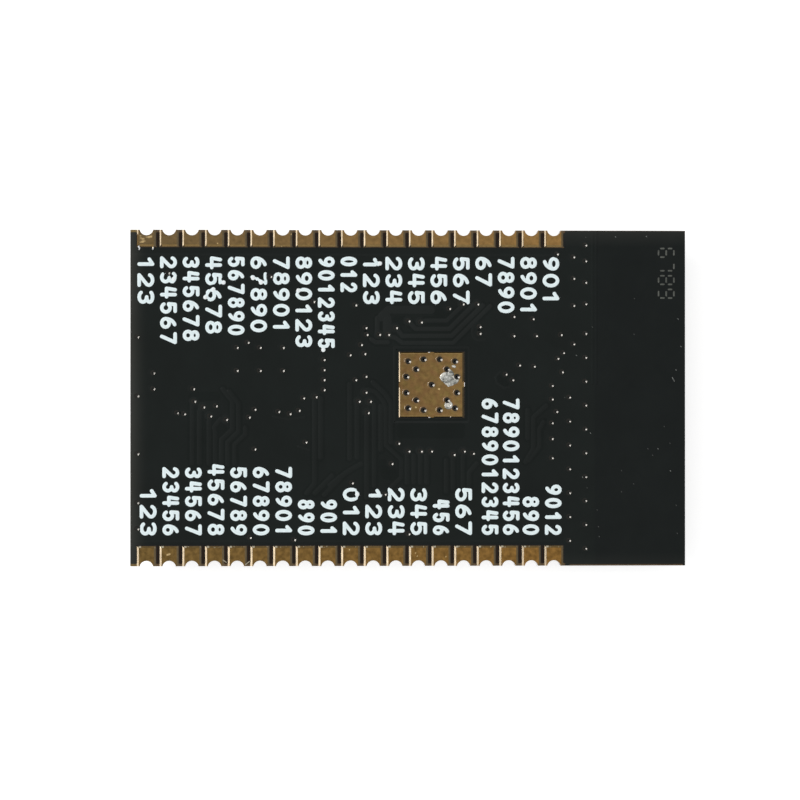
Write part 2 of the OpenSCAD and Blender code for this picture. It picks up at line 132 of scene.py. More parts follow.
def set_down(piece, material, angle=40):
    """Scales a finished piece from millimetres to metres and gives it its finish and its body."""
    select_only(piece)
    piece.scale = (MM, MM, MM)
    piece.location = piece.location * MM
    bpy.ops.object.transform_apply(location=True, rotation=True, scale=True)
    bpy.ops.object.shade_smooth_by_angle(angle=math.radians(angle))
    piece.data.materials.clear()
    piece.data.materials.append(material)
    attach(piece, "root")


def arc(middle, radii, start, end, steps=14):
    """Points on an ellipse's arc from one angle to another, in degrees."""
    angles = [math.radians(start + (end - start) * i / steps) for i in range(steps + 1)]
    return [(middle[0] + radii[0] * math.cos(a), middle[1] + radii[1] * math.sin(a)) for a in angles]


def round_ends(stroke, radius):
    """A stroke's points with their share of the full width, tapered to round ends past its ends."""
    points = [Vector(p) for p in stroke]
    into = (points[1] - points[0]).normalized()
    out = (points[-1] - points[-2]).normalized()
    turns = [math.radians(a) for a in (84, 60, 32)]
    head = [(points[0] - into * radius * math.sin(a), math.cos(a)) for a in turns]
    tail = [(points[-1] + out * radius * math.sin(a), math.cos(a)) for a in reversed(turns)]
    return head + [(p, 1) for p in points] + tail


# Step in height from one stroke to the next, as a share of the width, before the bead is flattened
STROKE_STEP = 0.1


def bead(name, strokes, size, level=MASK_TOP, order=0):
    """Low rounded beads along flat strokes, in one mesh whose middle lies at the level.

    The size is a bead's width and height. Strokes that follow each other differ a little in height, so that
    no two tops share a plane.
    """
    width, height = size
    path = bpy.data.curves.new(name, "CURVE")
    path.dimensions = "3D"
    path.bevel_depth = width / 2
    path.bevel_resolution = 1
    path.use_fill_caps = True
    for i, stroke in enumerate(strokes, order):
        spline = path.splines.new("POLY")
        spline.use_cyclic_u = math.dist(stroke[0], stroke[-1]) < SAME_POINT
        if spline.use_cyclic_u:
            points = [(Vector(p), 1) for p in stroke[:-1]]
        else:
            points = round_ends(stroke, width / 2)
        spline.points.add(len(points) - 1)
        for point, (spot, share) in zip(spline.points, points):
            point.co = (spot.x, spot.y, i % 3 * STROKE_STEP * width, 1)
            point.radius = share
    piece = bpy.data.objects.new(name, path)
    bpy.context.scene.collection.objects.link(piece)
    select_only(piece)
    bpy.ops.object.convert(target="MESH")
    piece = bpy.context.object
    with editing(piece):
        bpy.ops.transform.resize(value=(1, 1, 2 * height / width), center_override=(0, 0, 0))
        bpy.ops.transform.translate(value=(0, 0, level))
    return piece


DRILL_LENGTH = 1


def drill(piece, x, y, radius):
    """Cuts an upright round hole right through a piece."""
    bpy.ops.mesh.primitive_cylinder_add(vertices=24, radius=radius, depth=DRILL_LENGTH,
                                        location=(x, y, MASK_TOP))
    cutter = bpy.context.object
    apply_modifier(piece, "BOOLEAN", operation="DIFFERENCE", object=cutter, solver="EXACT")
    bpy.data.objects.remove(cutter)


def via_middles():
    """Middle and radius of each via, from the separate barrels of their node."""
    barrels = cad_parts["via_barrels"].copy()
    barrels.data = barrels.data.copy()
    barrels.parent = None
    bpy.context.scene.collection.objects.link(barrels)
    with editing(barrels):
        bpy.ops.mesh.remove_doubles(threshold=SAME_POINT * MM)
        bpy.ops.mesh.separate(type="LOOSE")
    middles = []
    for barrel in list(bpy.context.selected_objects):
        corners = [Vector(c) / MM for c in barrel.bound_box]
        middles.append((corners[0] + corners[6]) / 2)
        radius = (corners[6].x - corners[0].x) / 2
        bpy.data.objects.remove(barrel)
    return middles, radius


def vias_on(stroke, reach):
    """The vias whose middle lies within reach of a stroke."""
    found = []
    for via in VIAS:
        for start, end in zip(stroke, stroke[1:]):
            nearest, share = intersect_point_line(via.xy, start, end)
            nearest = Vector(start if share < 0 else end if share > 1 else nearest)
            if (nearest - via.xy).length < reach:
                found.append(via)
                break
    return found


def open_bead(name, strokes, size):
    """Beads on the mask, with the vias' mouths left open."""
    whole = []
    pieces = []
    for i, stroke in enumerate(strokes):
        vias = vias_on(stroke, size[0] / 2 + VIA_RADIUS)
        if not vias:
            whole.append(stroke)
            continue
        piece = bead(name, [stroke], size, order=i)
        for via in vias:
            drill(piece, via.x, via.y, VIA_RADIUS)
        pieces.append(piece)
    return join_pieces([bead(name, whole, size)] + pieces, name)


VIAS, VIA_RADIUS = via_middles()


# Finishes

def add_node(tree, kind, values=None, links=None, **settings):
    """Adds a shader node; values and links go to its inputs by name or number."""
    node = tree.nodes.new(kind)
    for key, value in settings.items():
        setattr(node, key, value)
    for key, value in (values or {}).items():
        node.inputs[key].default_value = value
    for key, source in (links or {}).items():
        tree.links.new(source, node.inputs[key])
    return node


def socket(material, name):
    return material.node_tree.nodes["Principled BSDF"].inputs[name]


def set_socket(material, name, value):
    material.node_tree.links.new(value, socket(material, name))


def paint(material, colour):
    set_socket(material, "Base Color", colour)


def new_finish(name, metallic=0.0, roughness=0.5, specular=0.5):
    material = bpy.data.materials.new(name)
    material.use_nodes = True
    socket(material, "Metallic").default_value = metallic
    socket(material, "Roughness").default_value = roughness
    socket(material, "Specular IOR Level").default_value = specular
    return material


# Patterns start from a material, and all that is worked out from them goes into the tree of the first one

def place(material, stretch=(1, 1, 1), turn=0):
    """The piece's own coordinates in millimetres, stretched and turned about Z."""
    tree = material.node_tree
    own = add_node(tree, "ShaderNodeTexCoord").outputs["Object"]
    values = {"Rotation": (0, 0, math.radians(turn)), "Scale": tuple(s / MM for s in stretch)}
    return add_node(tree, "ShaderNodeMapping", values, {"Vector": own}).outputs["Vector"]


def grain(material, size, detail=2.0, stretch=(1, 1, 1), turn=0):
    """Noise with features of about the given size in millimetres."""
    noise = add_node(material.node_tree, "ShaderNodeTexNoise", {"Scale": 1 / size, "Detail": detail},
                     {"Vector": place(material, stretch, turn)})
    return noise.outputs["Fac"]


def split(vector):
    """The X, Y and Z of a vector."""
    return add_node(vector.id_data, "ShaderNodeSeparateXYZ", links={"Vector": vector}).outputs


def axes(material):
    """The piece's own X, Y and Z, in millimetres."""
    return split(place(material))


def worked_out(operation, sources, values=None):
    """Result of a sum whose first terms are other nodes' outputs."""
    terms = dict(enumerate(sources))
    node = add_node(sources[0].id_data, "ShaderNodeMath", values, terms, operation=operation)
    return node.outputs["Value"]


def near(value, middle, reach):
    """1 where a value lies within reach of the middle, and 0 elsewhere."""
    return worked_out("COMPARE", [value], {1: middle, 2: reach})


def repeated(value, start, step):
    """A value brought back into the first of equal steps."""
    return worked_out("WRAP", [value], {1: start + step, 2: start})


def both(first, second):
    """Product of two shares."""
    return worked_out("MULTIPLY", [first, second])


def either(first, second):
    """The larger of two shares."""
    return worked_out("MAXIMUM", [first, second])


def spread(pattern, low, high, from_low=0.3, from_high=0.7):
    """Maps a pattern onto a range of numbers."""
    values = {"From Min": from_low, "From Max": from_high, "To Min": low, "To Max": high}
    return add_node(pattern.id_data, "ShaderNodeMapRange", values, {"Value": pattern}).outputs["Result"]


def tint(pattern, stops):
    """Maps a pattern onto colours: stops are (place, linear colour)."""
    node = add_node(pattern.id_data, "ShaderNodeValToRGB", links={"Fac": pattern})
    ramp = node.color_ramp.elements
    while len(ramp) < len(stops):
        ramp.new(0.5)
    for element, (position, colour) in zip(ramp, stops):
        element.position = position
        element.color = (*colour, 1)
    return node.outputs["Color"]


def two_tints(pattern, low, high):
    """Maps a noise onto the range between two colours."""
    return tint(pattern, [(0.3, low), (0.7, high)])


def blend_tints(share, first, second):
    links = {"Factor": share, 6: first, 7: second}
    return add_node(share.id_data, "ShaderNodeMix", links=links, data_type="RGBA").outputs[2]


def emboss(material, pattern, depth):
    """Raises a pattern by a depth in millimetres."""
    bump = add_node(material.node_tree, "ShaderNodeBump", {"Distance": depth * MM}, {"Height": pattern})
    set_socket(material, "Normal", bump.outputs["Normal"])


def scaled(tone, share):
    """A linear colour made darker or lighter."""
    return tuple(c * share for c in tone)


# How far the solder mask is painted paler in from the plain end, a painted highlight along its west edge, and
# how far it is paler in from the north edge and from the south edge
END_SHEEN_RUN = 1.25
NORTH_PALE_RUN = 1.1
SOUTH_PALE_RUN = 0.9
# Half the width of the borders between its tones
FADE = 0.1


def mask_finish(name, lift=0.0):
    """Black solder mask: satin, a little warmer over the copper pour than past it, and paler by the lift.

    It is stained brown between the terminals. Along the plain end it is paler, a painted highlight of the
    mask's west edge, and past the rows it is paler towards the north and south edges.
    """
    def lifted_tints(low, high):
        return two_tints(clouds, *(tuple(c + lift for c in tone) for tone in (low, high)))

    material = new_finish(name, roughness=0.4, specular=0.15)
    clouds = grain(material, 2.5, detail=4)
    warm = lifted_tints((0.0036, 0.0062, 0.0052), (0.0052, 0.0084, 0.0073))
    cool = lifted_tints((0.0028, 0.0050, 0.0046), (0.0042, 0.0068, 0.0062))
    stain_and_shade = two_tints(clouds, (0.012, 0.0045, 0.0004), (0.016, 0.0064, 0.0008))
    # Paler tone: a painted highlight at the plain end, and plain paler mask towards the long edges past the
    # rows
    sheen_and_pale = two_tints(clouds, (0.032, 0.033, 0.028), (0.038, 0.039, 0.034))
    x, y, _ = axes(material)
    past_pour = spread(x, 0, 1, POUR_END - FADE, POUR_END + FADE)
    in_rows = either(spread(y, 0, 1, NORTH_INNER - FADE, NORTH_INNER + FADE),
                     spread(y, 1, 0, SOUTH_INNER - FADE, SOUTH_INNER + FADE))
    along_rows = both(in_rows, near(x, ROW_MIDDLE, ROW_HALF))
    ink = blend_tints(along_rows, blend_tints(past_pour, warm, cool), stain_and_shade)
    # Painted highlight: the mask grows paler towards the plain end's west edge
    sheen_by_end = spread(x, 1, 0, BOARD_LOW.x, BOARD_LOW.x + END_SHEEN_RUN)
    pale_by_edges = either(spread(y, 0, 0.4, BOARD_HIGH.y - NORTH_PALE_RUN, BOARD_HIGH.y),
                      spread(y, 0.2, 0, BOARD_LOW.y, BOARD_LOW.y + SOUTH_PALE_RUN))
    past_rows = spread(x, 0, 1, POUR_EDGE_END, POUR_EDGE_END + 4 * FADE)
    sheen_and_pale_share = either(both(sheen_by_end, sheen_by_end), both(pale_by_edges, past_rows))
    paint(material, blend_tints(sheen_and_pale_share, ink, sheen_and_pale))
    set_socket(material, "Roughness", spread(grain(material, 0.6, detail=3), 0.34, 0.46))
    emboss(material, grain(material, 0.12, detail=2), 0.0006)
    return material


# Painted shade on the laminate: the darker strips start past the west corners, and a darker line runs along
# the north terminals
STRIP_SHADE_START = (BOARD_LOW.x + 0.4, BOARD_LOW.x + 0.5)
NORTH_SHADE_LINE = (NORTH_INNER - 0.05, 0.07)


def laminate_finish():
    """Glass cloth in resin: thin layers along its cut edges, speckled with fibre ends. Its flat faces carry
    painted shade between the rows, along the milled strips past the west corners and along the north
    terminals.
    """
    material = new_finish("laminate", roughness=0.6, specular=0.35)
    layers = grain(material, 0.5, detail=3, stretch=(0.35, 0.35, 7))
    resin = tint(layers, [(0.3, (0.105, 0.066, 0.018)), (0.52, (0.185, 0.122, 0.036)),
                          (0.7, (0.265, 0.185, 0.07))])
    # Painted shade: nearly black laminate in the gaps between the terminals
    stain_and_shade = two_tints(layers, (0.008, 0.006, 0.005), (0.018, 0.013, 0.010))
    # Painted shade: darker laminate along the milled strips past the west corners and along the north
    # terminals
    strip_shade = two_tints(layers, (0.062, 0.036, 0.014), (0.12, 0.072, 0.03))
    x, y, z = axes(material)
    middle_z = (BOARD_LOW.z + BOARD_HIGH.z) / 2
    edge_face = near(z, middle_z, BOARD_HIGH.z - middle_z - 0.01)
    between_rows = near(y, 0, BOARD_HIGH.y - MILLED_STRIP)
    flat_face = spread(edge_face, 1, 0, 0, 1)
    past_corner = spread(x, 0, 1, *STRIP_SHADE_START)
    strip = blend_tints(both(flat_face, past_corner), resin, strip_shade)
    dark = blend_tints(both(flat_face, between_rows), strip, stain_and_shade)
    shade_by_north_pads = both(flat_face, near(y, *NORTH_SHADE_LINE))
    paint(material, blend_tints(shade_by_north_pads, dark, strip_shade))
    emboss(material, grain(material, 0.06, detail=2), 0.006)
    return material


# Gold at the west and at the east end of each row and of the ground pad
NORTH_TONES = ((0.159, 0.109, 0.05), (0.288, 0.166, 0.056))
SOUTH_TONES = ((0.168, 0.105, 0.034), (0.228, 0.121, 0.032))
PAD_TONES = ((0.183, 0.1115, 0.0415), (0.226, 0.138, 0.0505))
# Where the rows' tones run from one to the other
GOLD_SPAN = (BOARD_LOW.x, 10)
# Largest turn of the ground pad's hue, as a share of the full circle
HUE_SHIFT = 0.012
RUBBED_TONE = (0.5, 0.36, 0.175)
# Sloped edges of the gold, painted by the side they face: a darker copy to the west and lighter copies to the
# east, north and south, which are painted shade and painted highlight; the darkest tone is painted shade on
# parts of them
EDGE_RUN = 0.14
WEST_SHADED_EDGE_TONE = (0.086, 0.069, 0.047)
EDGE_SHADE_TONE = (0.0183, 0.0119, 0.005)
EAST_LIT_EDGE_TONE = (0.30, 0.226, 0.128)
CROSS_LIT_EDGE_TONE = (0.45, 0.30, 0.12)
# Painted glints on the south terminals' inner edges: their tone, and how far they run in
PAINTED_GLINT_TONE = (0.95, 0.84, 0.62)
GLINT_RUN = 0.06
# Rims of the thermal vias; plating of all vias, painted dark as a painted shade in their mouths; and how far
# the holes stay off the ground pad's edges
RIM_TONE = (0.21, 0.19, 0.165)
RIM_HEIGHT = 0.007
VIA_SHADE_TONE = (0.064, 0.061, 0.056)
HOLE_MARGIN = 0.2


def mottled(material, tone, size=0.25, spread_share=0.25):
    """One tone in slightly uneven patches."""
    return two_tints(grain(material, size), tone, scaled(tone, 1 + spread_share))


def gold_skin(material, tones, contrast, span=GOLD_SPAN):
    """Thin gold over copper, dulled in patches; the tones are those at the span's west and east end."""
    patches = grain(material, 0.32, detail=5)
    rub = grain(material, 0.16, detail=3, stretch=(1, 0.35, 1), turn=24)
    set_socket(material, "Roughness", spread(rub, 0.15, 0.22))
    emboss(material, grain(material, 0.22, detail=3), 0.0012)
    ends = []
    for tone in tones:
        stops = [(0.3, scaled(tone, 1 - contrast)), (0.5, tone), (0.7, scaled(tone, 1 + contrast))]
        ends.append(tint(patches, stops))
    x, _, _ = axes(material)
    return blend_tints(spread(x, 0, 1, *span), *ends)


def pad_skin(material):
    """The ground pad's gold, in patches of slightly redder and yellower hue."""
    skin = gold_skin(material, PAD_TONES, 0.2, (PAD_LOW.x, PAD_HIGH.x))
    hue = spread(grain(material, 0.45, detail=3), 0.5 - HUE_SHIFT, 0.5 + HUE_SHIFT)
    turned = add_node(skin.id_data, "ShaderNodeHueSaturation", links={"Color": skin, "Hue": hue})
    return turned.outputs["Color"]


def edged(material, face, box, step, shade_from, east=EAST_LIT_EDGE_TONE, cross=CROSS_LIT_EDGE_TONE, foot=-0.01):
    """Adds sloped edges to gold faces that repeat by a step: a darker copy of the gold to the west, painted
    shade, and lighter copies on the other sides, painted highlight.

    The west edges carry the darkest painted shade above a level, and the north and south ones up to their
    foot's level. Both levels are measured from the laminate.
    """
    low, high = box
    half = EDGE_RUN / 2
    soft = 0.004
    x, y, level = axes(material)
    column = repeated(x, low.x, step)
    shade_z = BOARD_HIGH.z + shade_from
    foot_z = BOARD_HIGH.z + foot
    upper = spread(level, 0, 1, shade_z - soft, shade_z + soft)
    # Painted shade: the west edges are a darker copy of the gold, darkest above the shade level
    west = blend_tints(upper, mottled(material, WEST_SHADED_EDGE_TONE), mottled(material, EDGE_SHADE_TONE))
    below_face = spread(level, 1, 0, PAD_TOP - soft, PAD_TOP - soft / 4)
    on_west = near(column, low.x + half, half)
    on_east = near(column, high.x - half, half)
    across = either(near(y, low.y + half, half), near(y, high.y - half, half))
    at_foot = spread(level, 1, 0, foot_z - soft, foot_z + soft)
    # Painted highlight on the north and south edges, with painted shade below their foot
    slope = blend_tints(at_foot, mottled(material, cross), mottled(material, EDGE_SHADE_TONE))
    with_cross = blend_tints(both(across, below_face), face, slope)
    # Painted highlight: the east edges are a lighter copy of the gold
    with_east = blend_tints(on_east, with_cross, mottled(material, east))
    return blend_tints(on_west, with_east, west)


def gold_finish(name, skin, *settings):
    """One of the gold skins, without edges."""
    material = new_finish(name, metallic=1.0)
    paint(material, skin(material, *settings))
    return material


# Rubbed patch on the first terminal: middle and reach, from its west side and from its outer end
RUBBED_X = (0.6, 0.42)
RUBBED_Y = (0.62, 0.25)
# Where that terminal's west edge takes the painted shade, from its outer end
EDGE_SHADE_Y = (0.34, 0.29)


def north_gold_finish():
    """Gold on which the first terminal is rubbed, and whose west edge carries painted shade apart from its
    outer end.
    """
    material = new_finish("north_gold", metallic=1.0)
    low, high = box_mm("terminal_north_01")
    face = edged(material, gold_skin(material, NORTH_TONES, 0.2), (low, high), PITCH, shade_from=0.046)
    x, y, _ = axes(material)
    rubs = grain(material, 0.3, detail=2, stretch=(0.6, 1.3, 1), turn=-25)
    on_first = both(near(x, low.x + RUBBED_X[0], RUBBED_X[1]), near(y, high.y - RUBBED_Y[0], RUBBED_Y[1]))
    rub_share = both(on_first, spread(rubs, 0, 0.9, 0.52, 0.62))
    rubbed = blend_tints(rub_share, face, mottled(material, RUBBED_TONE))
    # Painted shade: the first terminal's west edge takes the darkest edge tone, so it shows no bright line
    inner = spread(y, 1, 0, *(high.y - distance for distance in EDGE_SHADE_Y))
    at_edge = both(near(x, low.x + EDGE_RUN / 2, EDGE_RUN / 2), inner)
    paint(material, blend_tints(at_edge, rubbed, mottled(material, EDGE_SHADE_TONE)))
    return material


def south_gold_finish():
    """Gold whose inner edges carry a painted glint at each west corner and in a few spots."""
    material = new_finish("south_gold", metallic=1.0)
    low, high = box_mm("terminal_south_01")
    face = edged(material, gold_skin(material, SOUTH_TONES, 0.34), (low, high), PITCH, shade_from=0.064,
                 cross=scaled(CROSS_LIT_EDGE_TONE, 0.6))
    x, y, _ = axes(material)
    # Painted highlight: near-white spots along the inner edges and at each west corner
    spots = grain(material, 0.16, detail=1)
    on_edge = near(y, high.y - GLINT_RUN, GLINT_RUN)
    in_corner = near(repeated(x, low.x, PITCH), low.x + 0.2, 0.08)
    in_spots = spread(spots, 0, 0.7, 0.65, 0.72)
    share = both(on_edge, either(in_spots, in_corner))
    painted_glint = mottled(material, PAINTED_GLINT_TONE, 0.1, 0.1)
    paint(material, blend_tints(share, face, painted_glint))
    return material


def rim_finish():
    """Gold rims whose low slopes are grey."""
    material = new_finish("ground_pad_rims", metallic=1.0)
    _, _, level = axes(material)
    on_slope = spread(level, 1, 0, PAD_TOP + RIM_HEIGHT * 0.9, PAD_TOP + RIM_HEIGHT * 0.98)
    grey = mottled(material, RIM_TONE)
    paint(material, blend_tints(on_slope, pad_skin(material), grey))
    set_socket(material, "Roughness", spread(on_slope, 0.18, 0.36, 0, 1))
    return material


def ground_pad_finish():
    """Gold face with holes painted dark, a painted shade, and a painted shadow line at the foot of its sloped
    edges; the pad's sloped edges lie outside the holes' square.
    """
    material = new_finish("ground_pad_gold", metallic=1.0)
    face = edged(material, pad_skin(material), (PAD_LOW, PAD_HIGH), 2 * PAD_HIGH.x, shade_from=0.035,
                 east=scaled(EAST_LIT_EDGE_TONE, 0.5), cross=scaled(CROSS_LIT_EDGE_TONE, 1.35), foot=0.035)
    # Painted shade: the holes' mouths are darker, so that they look dark beside the lamp's glint
    hole_shade = mottled(material, VIA_SHADE_TONE, 0.1, 0.3)
    x, y, level = axes(material)
    below_face = spread(level, 1, 0, PAD_TOP - 0.002, PAD_TOP - 0.0005)
    reach = (PAD_HIGH.x - PAD_LOW.x) / 2 - HOLE_MARGIN
    in_square = both(near(x, PAD_MIDDLE.x, reach), near(y, PAD_MIDDLE.y, reach))
    in_holes = both(below_face, in_square)
    paint(material, blend_tints(in_holes, face, hole_shade))
    return material


def metal_finish(name, low, high, roughness, size, depth):
    """Plain metal with a fine uneven skin."""
    material = new_finish(name, metallic=1.0, roughness=roughness)
    skin = grain(material, size, detail=4)
    paint(material, two_tints(skin, low, high))
    set_socket(material, "Roughness", spread(skin, roughness * 0.75, roughness * 1.3))
    emboss(material, grain(material, size * 0.4, detail=3), depth)
    return material


def frozen_solder_finish():
    """Wrinkled solder, bright round its thin rim and greyer on top."""
    material = new_finish("frozen_solder", metallic=1.0)
    skin = grain(material, 0.17, detail=4)
    grey = tint(skin, [(0.34, (0.12, 0.122, 0.112)), (0.48, (0.31, 0.315, 0.29)),
                       (0.6, (0.46, 0.465, 0.43)), (0.68, (0.9, 0.9, 0.85))])
    bright = two_tints(skin, (0.56, 0.545, 0.49), (0.74, 0.725, 0.66))
    _, _, level = axes(material)
    on_rim = spread(level, 1, 0, PAD_TOP + 0.035, PAD_TOP + 0.05)
    paint(material, blend_tints(on_rim, grey, bright))
    set_socket(material, "Roughness", spread(skin, 0.2, 0.32))
    emboss(material, grain(material, 0.12, detail=2), 0.004)
    return material


def block_finish(name, low, high, roughness, size):
    """Moulded or fired block with a fine speckle."""
    material = new_finish(name, roughness=roughness)
    speckle = grain(material, size, detail=5)
    paint(material, tint(speckle, [(0.35, low), (0.65, high)]))
    set_socket(material, "Roughness", spread(speckle, roughness * 0.85, roughness * 1.15))
    emboss(material, speckle, 0.004)
    return material


def ink_finish(name, low, high):
    """Printed ink, thinner in small patches."""
    material = new_finish(name, roughness=0.55, specular=0.3)
    patches = grain(material, 0.25, detail=3)
    paint(material, tint(patches, [(0.3, low), (0.6, high)]))
    emboss(material, grain(material, 0.08, detail=2), 0.002)
    return material


CERAMIC_TONES = ((0.22, 0.13, 0.065), (0.30, 0.19, 0.10))


def matching_part_finish():
    """Tan ceramic between two tinned ends, which lie at the same X on all three parts."""
    material = new_finish("matching_parts", roughness=0.4)
    middle = (PARTS_LOW.x + PARTS_HIGH.x) / 2
    bare = (PARTS_HIGH.x - PARTS_LOW.x) / 4
    x, _, _ = axes(material)
    on_body = near(x, middle, bare)
    speckle = grain(material, 0.15, detail=4)
    ceramic = two_tints(speckle, *CERAMIC_TONES)
    tin = two_tints(speckle, (0.52, 0.52, 0.51), (0.66, 0.66, 0.65))
    paint(material, blend_tints(on_body, tin, ceramic))
    set_socket(material, "Metallic", spread(on_body, 1, 0, 0, 1))
    emboss(material, speckle, 0.004)
    return material


BLACK_MASK = mask_finish("solder_mask")
OVER_COPPER = mask_finish("mask_over_copper", lift=0.0052)
OVER_FINE_COPPER = mask_finish("mask_over_fine_copper", lift=0.0021)
OVER_LAMINATE = mask_finish("mask_over_laminate", lift=-0.0016)
NORTH_GOLD = north_gold_finish()
SOUTH_GOLD = south_gold_finish()
RIM_GOLD = rim_finish()
BRIGHT_GOLD = gold_finish("rubbed_gold", gold_skin, (RUBBED_TONE, RUBBED_TONE), 0.25)
NECK_GOLD = gold_finish("neck_gold", pad_skin)
# The vias' plating takes the same dark tone, a painted shade in their mouths and barrels
VIA_METAL = metal_finish("via_plating", VIA_SHADE_TONE, scaled(VIA_SHADE_TONE, 1.3), 0.14, 0.1, 0.0004)
SOLDER = metal_finish("solder", (0.85, 0.86, 0.86), (0.96, 0.96, 0.96), 0.3, 0.12, 0.003)
FROZEN_SOLDER = frozen_solder_finish()
CRYSTAL_METAL = metal_finish("crystal_case", (0.50, 0.48, 0.43), (0.60, 0.58, 0.53), 0.3, 0.4, 0.002)
CHIP_BLOCK = block_finish("chip_moulding", (0.018, 0.018, 0.019), (0.032, 0.032, 0.034), 0.55, 0.12)
WHITE_INK = ink_finish("white_ink", (0.78, 0.90, 0.92), (0.86, 0.97, 0.985))
FILLED_VIA = ink_finish("filled_via", (0.87, 0.94, 0.945), (0.93, 0.98, 0.985))
FAINT_INK = ink_finish("faint_ink", (0.055, 0.059, 0.05), (0.10, 0.105, 0.092))
FIBRE = block_finish("loose_fibre", (0.30, 0.26, 0.18), (0.46, 0.41, 0.30), 0.5, 0.08)
DUST = block_finish("dust", (0.10, 0.105, 0.10), (0.20, 0.21, 0.20), 0.7, 0.05)
FAINT_DUST = block_finish("faint_dust", (0.03, 0.032, 0.03), (0.06, 0.063, 0.06), 0.7, 0.05)

NODE_FINISHES = {
    "board": laminate_finish(),
    "solder_mask_back": BLACK_MASK,
    "solder_mask_front": BLACK_MASK,
    "ground_pad": ground_pad_finish(),
    "via_barrels": VIA_METAL,
    "shield_can": metal_finish("can_sheet", (0.50, 0.50, 0.48), (0.60, 0.60, 0.58), 0.34, 0.8, 0.002),
    "antenna_track": BLACK_MASK,
    "antenna_matching_parts": matching_part_finish(),
    "processor_chip": CHIP_BLOCK,
    "audio_codec_chip": CHIP_BLOCK,
    "flash_memory_chip": CHIP_BLOCK,
    "ram_chip": CHIP_BLOCK,
    "processor_crystal": CRYSTAL_METAL,
    "codec_crystal": CRYSTAL_METAL,
    "power_inductor": block_finish("inductor_block", (0.055, 0.055, 0.058), (0.09, 0.09, 0.095), 0.6, 0.1),
    "capacitors": block_finish("ceramic_parts", *CERAMIC_TONES, 0.4, 0.15),
    "resistors": block_finish("resistor_parts", (0.03, 0.03, 0.034), (0.06, 0.06, 0.065), 0.45, 0.12),
}


def dress_nodes():
    for name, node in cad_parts.items():
        node.data.materials.clear()
        terminal = NORTH_GOLD if "north" in name else SOUTH_GOLD
        node.data.materials.append(NODE_FINISHES.get(name, terminal))


# Printed pin numbers

INK_STROKE = 0.245
INK_HEIGHT = 0.015
CAP_HEIGHT = 1.14
DIGIT_GAP = 0.21
DIGIT_ADVANCE = 0.95
NORTH_START_Y = 9.52
SOUTH_END_Y = -9.23
# Distance of the first column of digits from its terminal
NORTH_SHIFT = -0.04
SOUTH_SHIFT = 0.12
# How much closer the columns stand than the terminals
CLOSER = 0.009
# The two long numbers of the south row stand further east
LONG_SHIFTS = {15: 0.27, 16: 0.18}
# Length of each number, from the first terminal on
NORTH_LENGTHS = (3.2, 5.9, 5.7, 5.2, 5.3, 5.1, 5.1, 6.1, 6.2, 2.4,
                 3.2, 3.2, 3.2, 3.2, 3.2, 2.0, 3.8, 3.9, 3.2)
SOUTH_LENGTHS = (3.2, 4.6, 4.6, 4.8, 4.6, 4.6, 4.6, 2.4, 2.4, 3.2,
                 3.2, 3.2, 3.2, 2.4, 3.2, 9.2, 9.2, 2.6, 3.4)
# A via is capped if its middle lies this close to the print
CAP_REACH = 0.12
# The caps lie a little off the vias' middles; radii as in low_rings()
CAP_OFFSET = Vector((0.03, -0.03, 0))
CAP_RADII = (0.03, 0.11, 0.15)
CAP_RISE = 0.035


def digit_strokes(digit, w, h):
    """Centre lines of one digit in a box of width w and height h, from its lower left corner."""
    mid = w / 2
    bowl = 0.28 * h
    crown = h / 2 - bowl
    six = [arc((mid, bowl), (mid, bowl), 0, 360), arc((w, bowl), (w, h - bowl), 180, 108, 8)]
    shapes = {
        0: [arc((mid, h / 2), (mid, h / 2), 0, 360, 20)],
        1: [[(0.12 * w, 0.76 * h), (0.6 * w, h)], [(0.6 * w, h), (0.6 * w, 0)]],
        2: [arc((mid, h - bowl), (mid, bowl), 165, -35) + [(0, 0)], [(0, 0), (w, 0)]],
        3: [arc((mid, h - crown), (mid, crown), 150, -90), arc((mid, bowl), (mid, bowl), 90, -150)],
        4: [[(0.16 * w, h), (0, 0.36 * h)], [(0, 0.36 * h), (w, 0.36 * h)],
            [(0.74 * w, h), (0.74 * w, 0)]],
        5: [[(0.92 * w, h), (0.1 * w, h)], [(0.1 * w, h), (0.04 * w, 0.52 * h)],
            arc((mid, 0.31 * h), (mid, 0.31 * h), 138, -150)],
        6: six,
        7: [[(0, h), (w, h)], [(w, h), (0.3 * w, 0)]],
        8: [arc((mid, h - crown), (0.88 * mid, crown), 0, 360), arc((mid, bowl), (mid, bowl), 0, 360)],
        9: [[(w - x, h - y) for x, y in stroke] for stroke in six],
    }
    return shapes[digit]


def number_strokes(first, count, column, start_y, length):
    """Strokes of a run of digits that reads towards -Y with its tops towards +X."""
    step = (length + DIGIT_GAP) / count
    w = step - DIGIT_GAP - INK_STROKE
    h = CAP_HEIGHT - INK_STROKE
    strokes = []
    for i in range(count):
        left = start_y - i * step - INK_STROKE / 2
        for stroke in digit_strokes((first + i) % 10, w, h):
            strokes.append([(column - h / 2 + v, left - u) for u, v in stroke])
    return strokes


def pin_numbers(row, lengths):
    """Prints one row's running digits and returns the vias under them."""
    strokes = []
    for pin, length in enumerate(lengths):
        count = max(2, round(length / DIGIT_ADVANCE))
        if row == "north":
            start_y, shift = NORTH_START_Y, NORTH_SHIFT
        else:
            start_y, shift = SOUTH_END_Y + length, SOUTH_SHIFT + LONG_SHIFTS.get(pin, 0)
        column = pin_middle(row, pin).x + shift - pin * CLOSER
        strokes += number_strokes(pin + 1, count, column, start_y, length)
    piece = bead(f"pin_numbers_{row}", strokes, (INK_STROKE, INK_HEIGHT))
    set_down(piece, WHITE_INK)
    return [via for stroke in strokes for via in vias_on(stroke, INK_STROKE / 2 + CAP_REACH)]


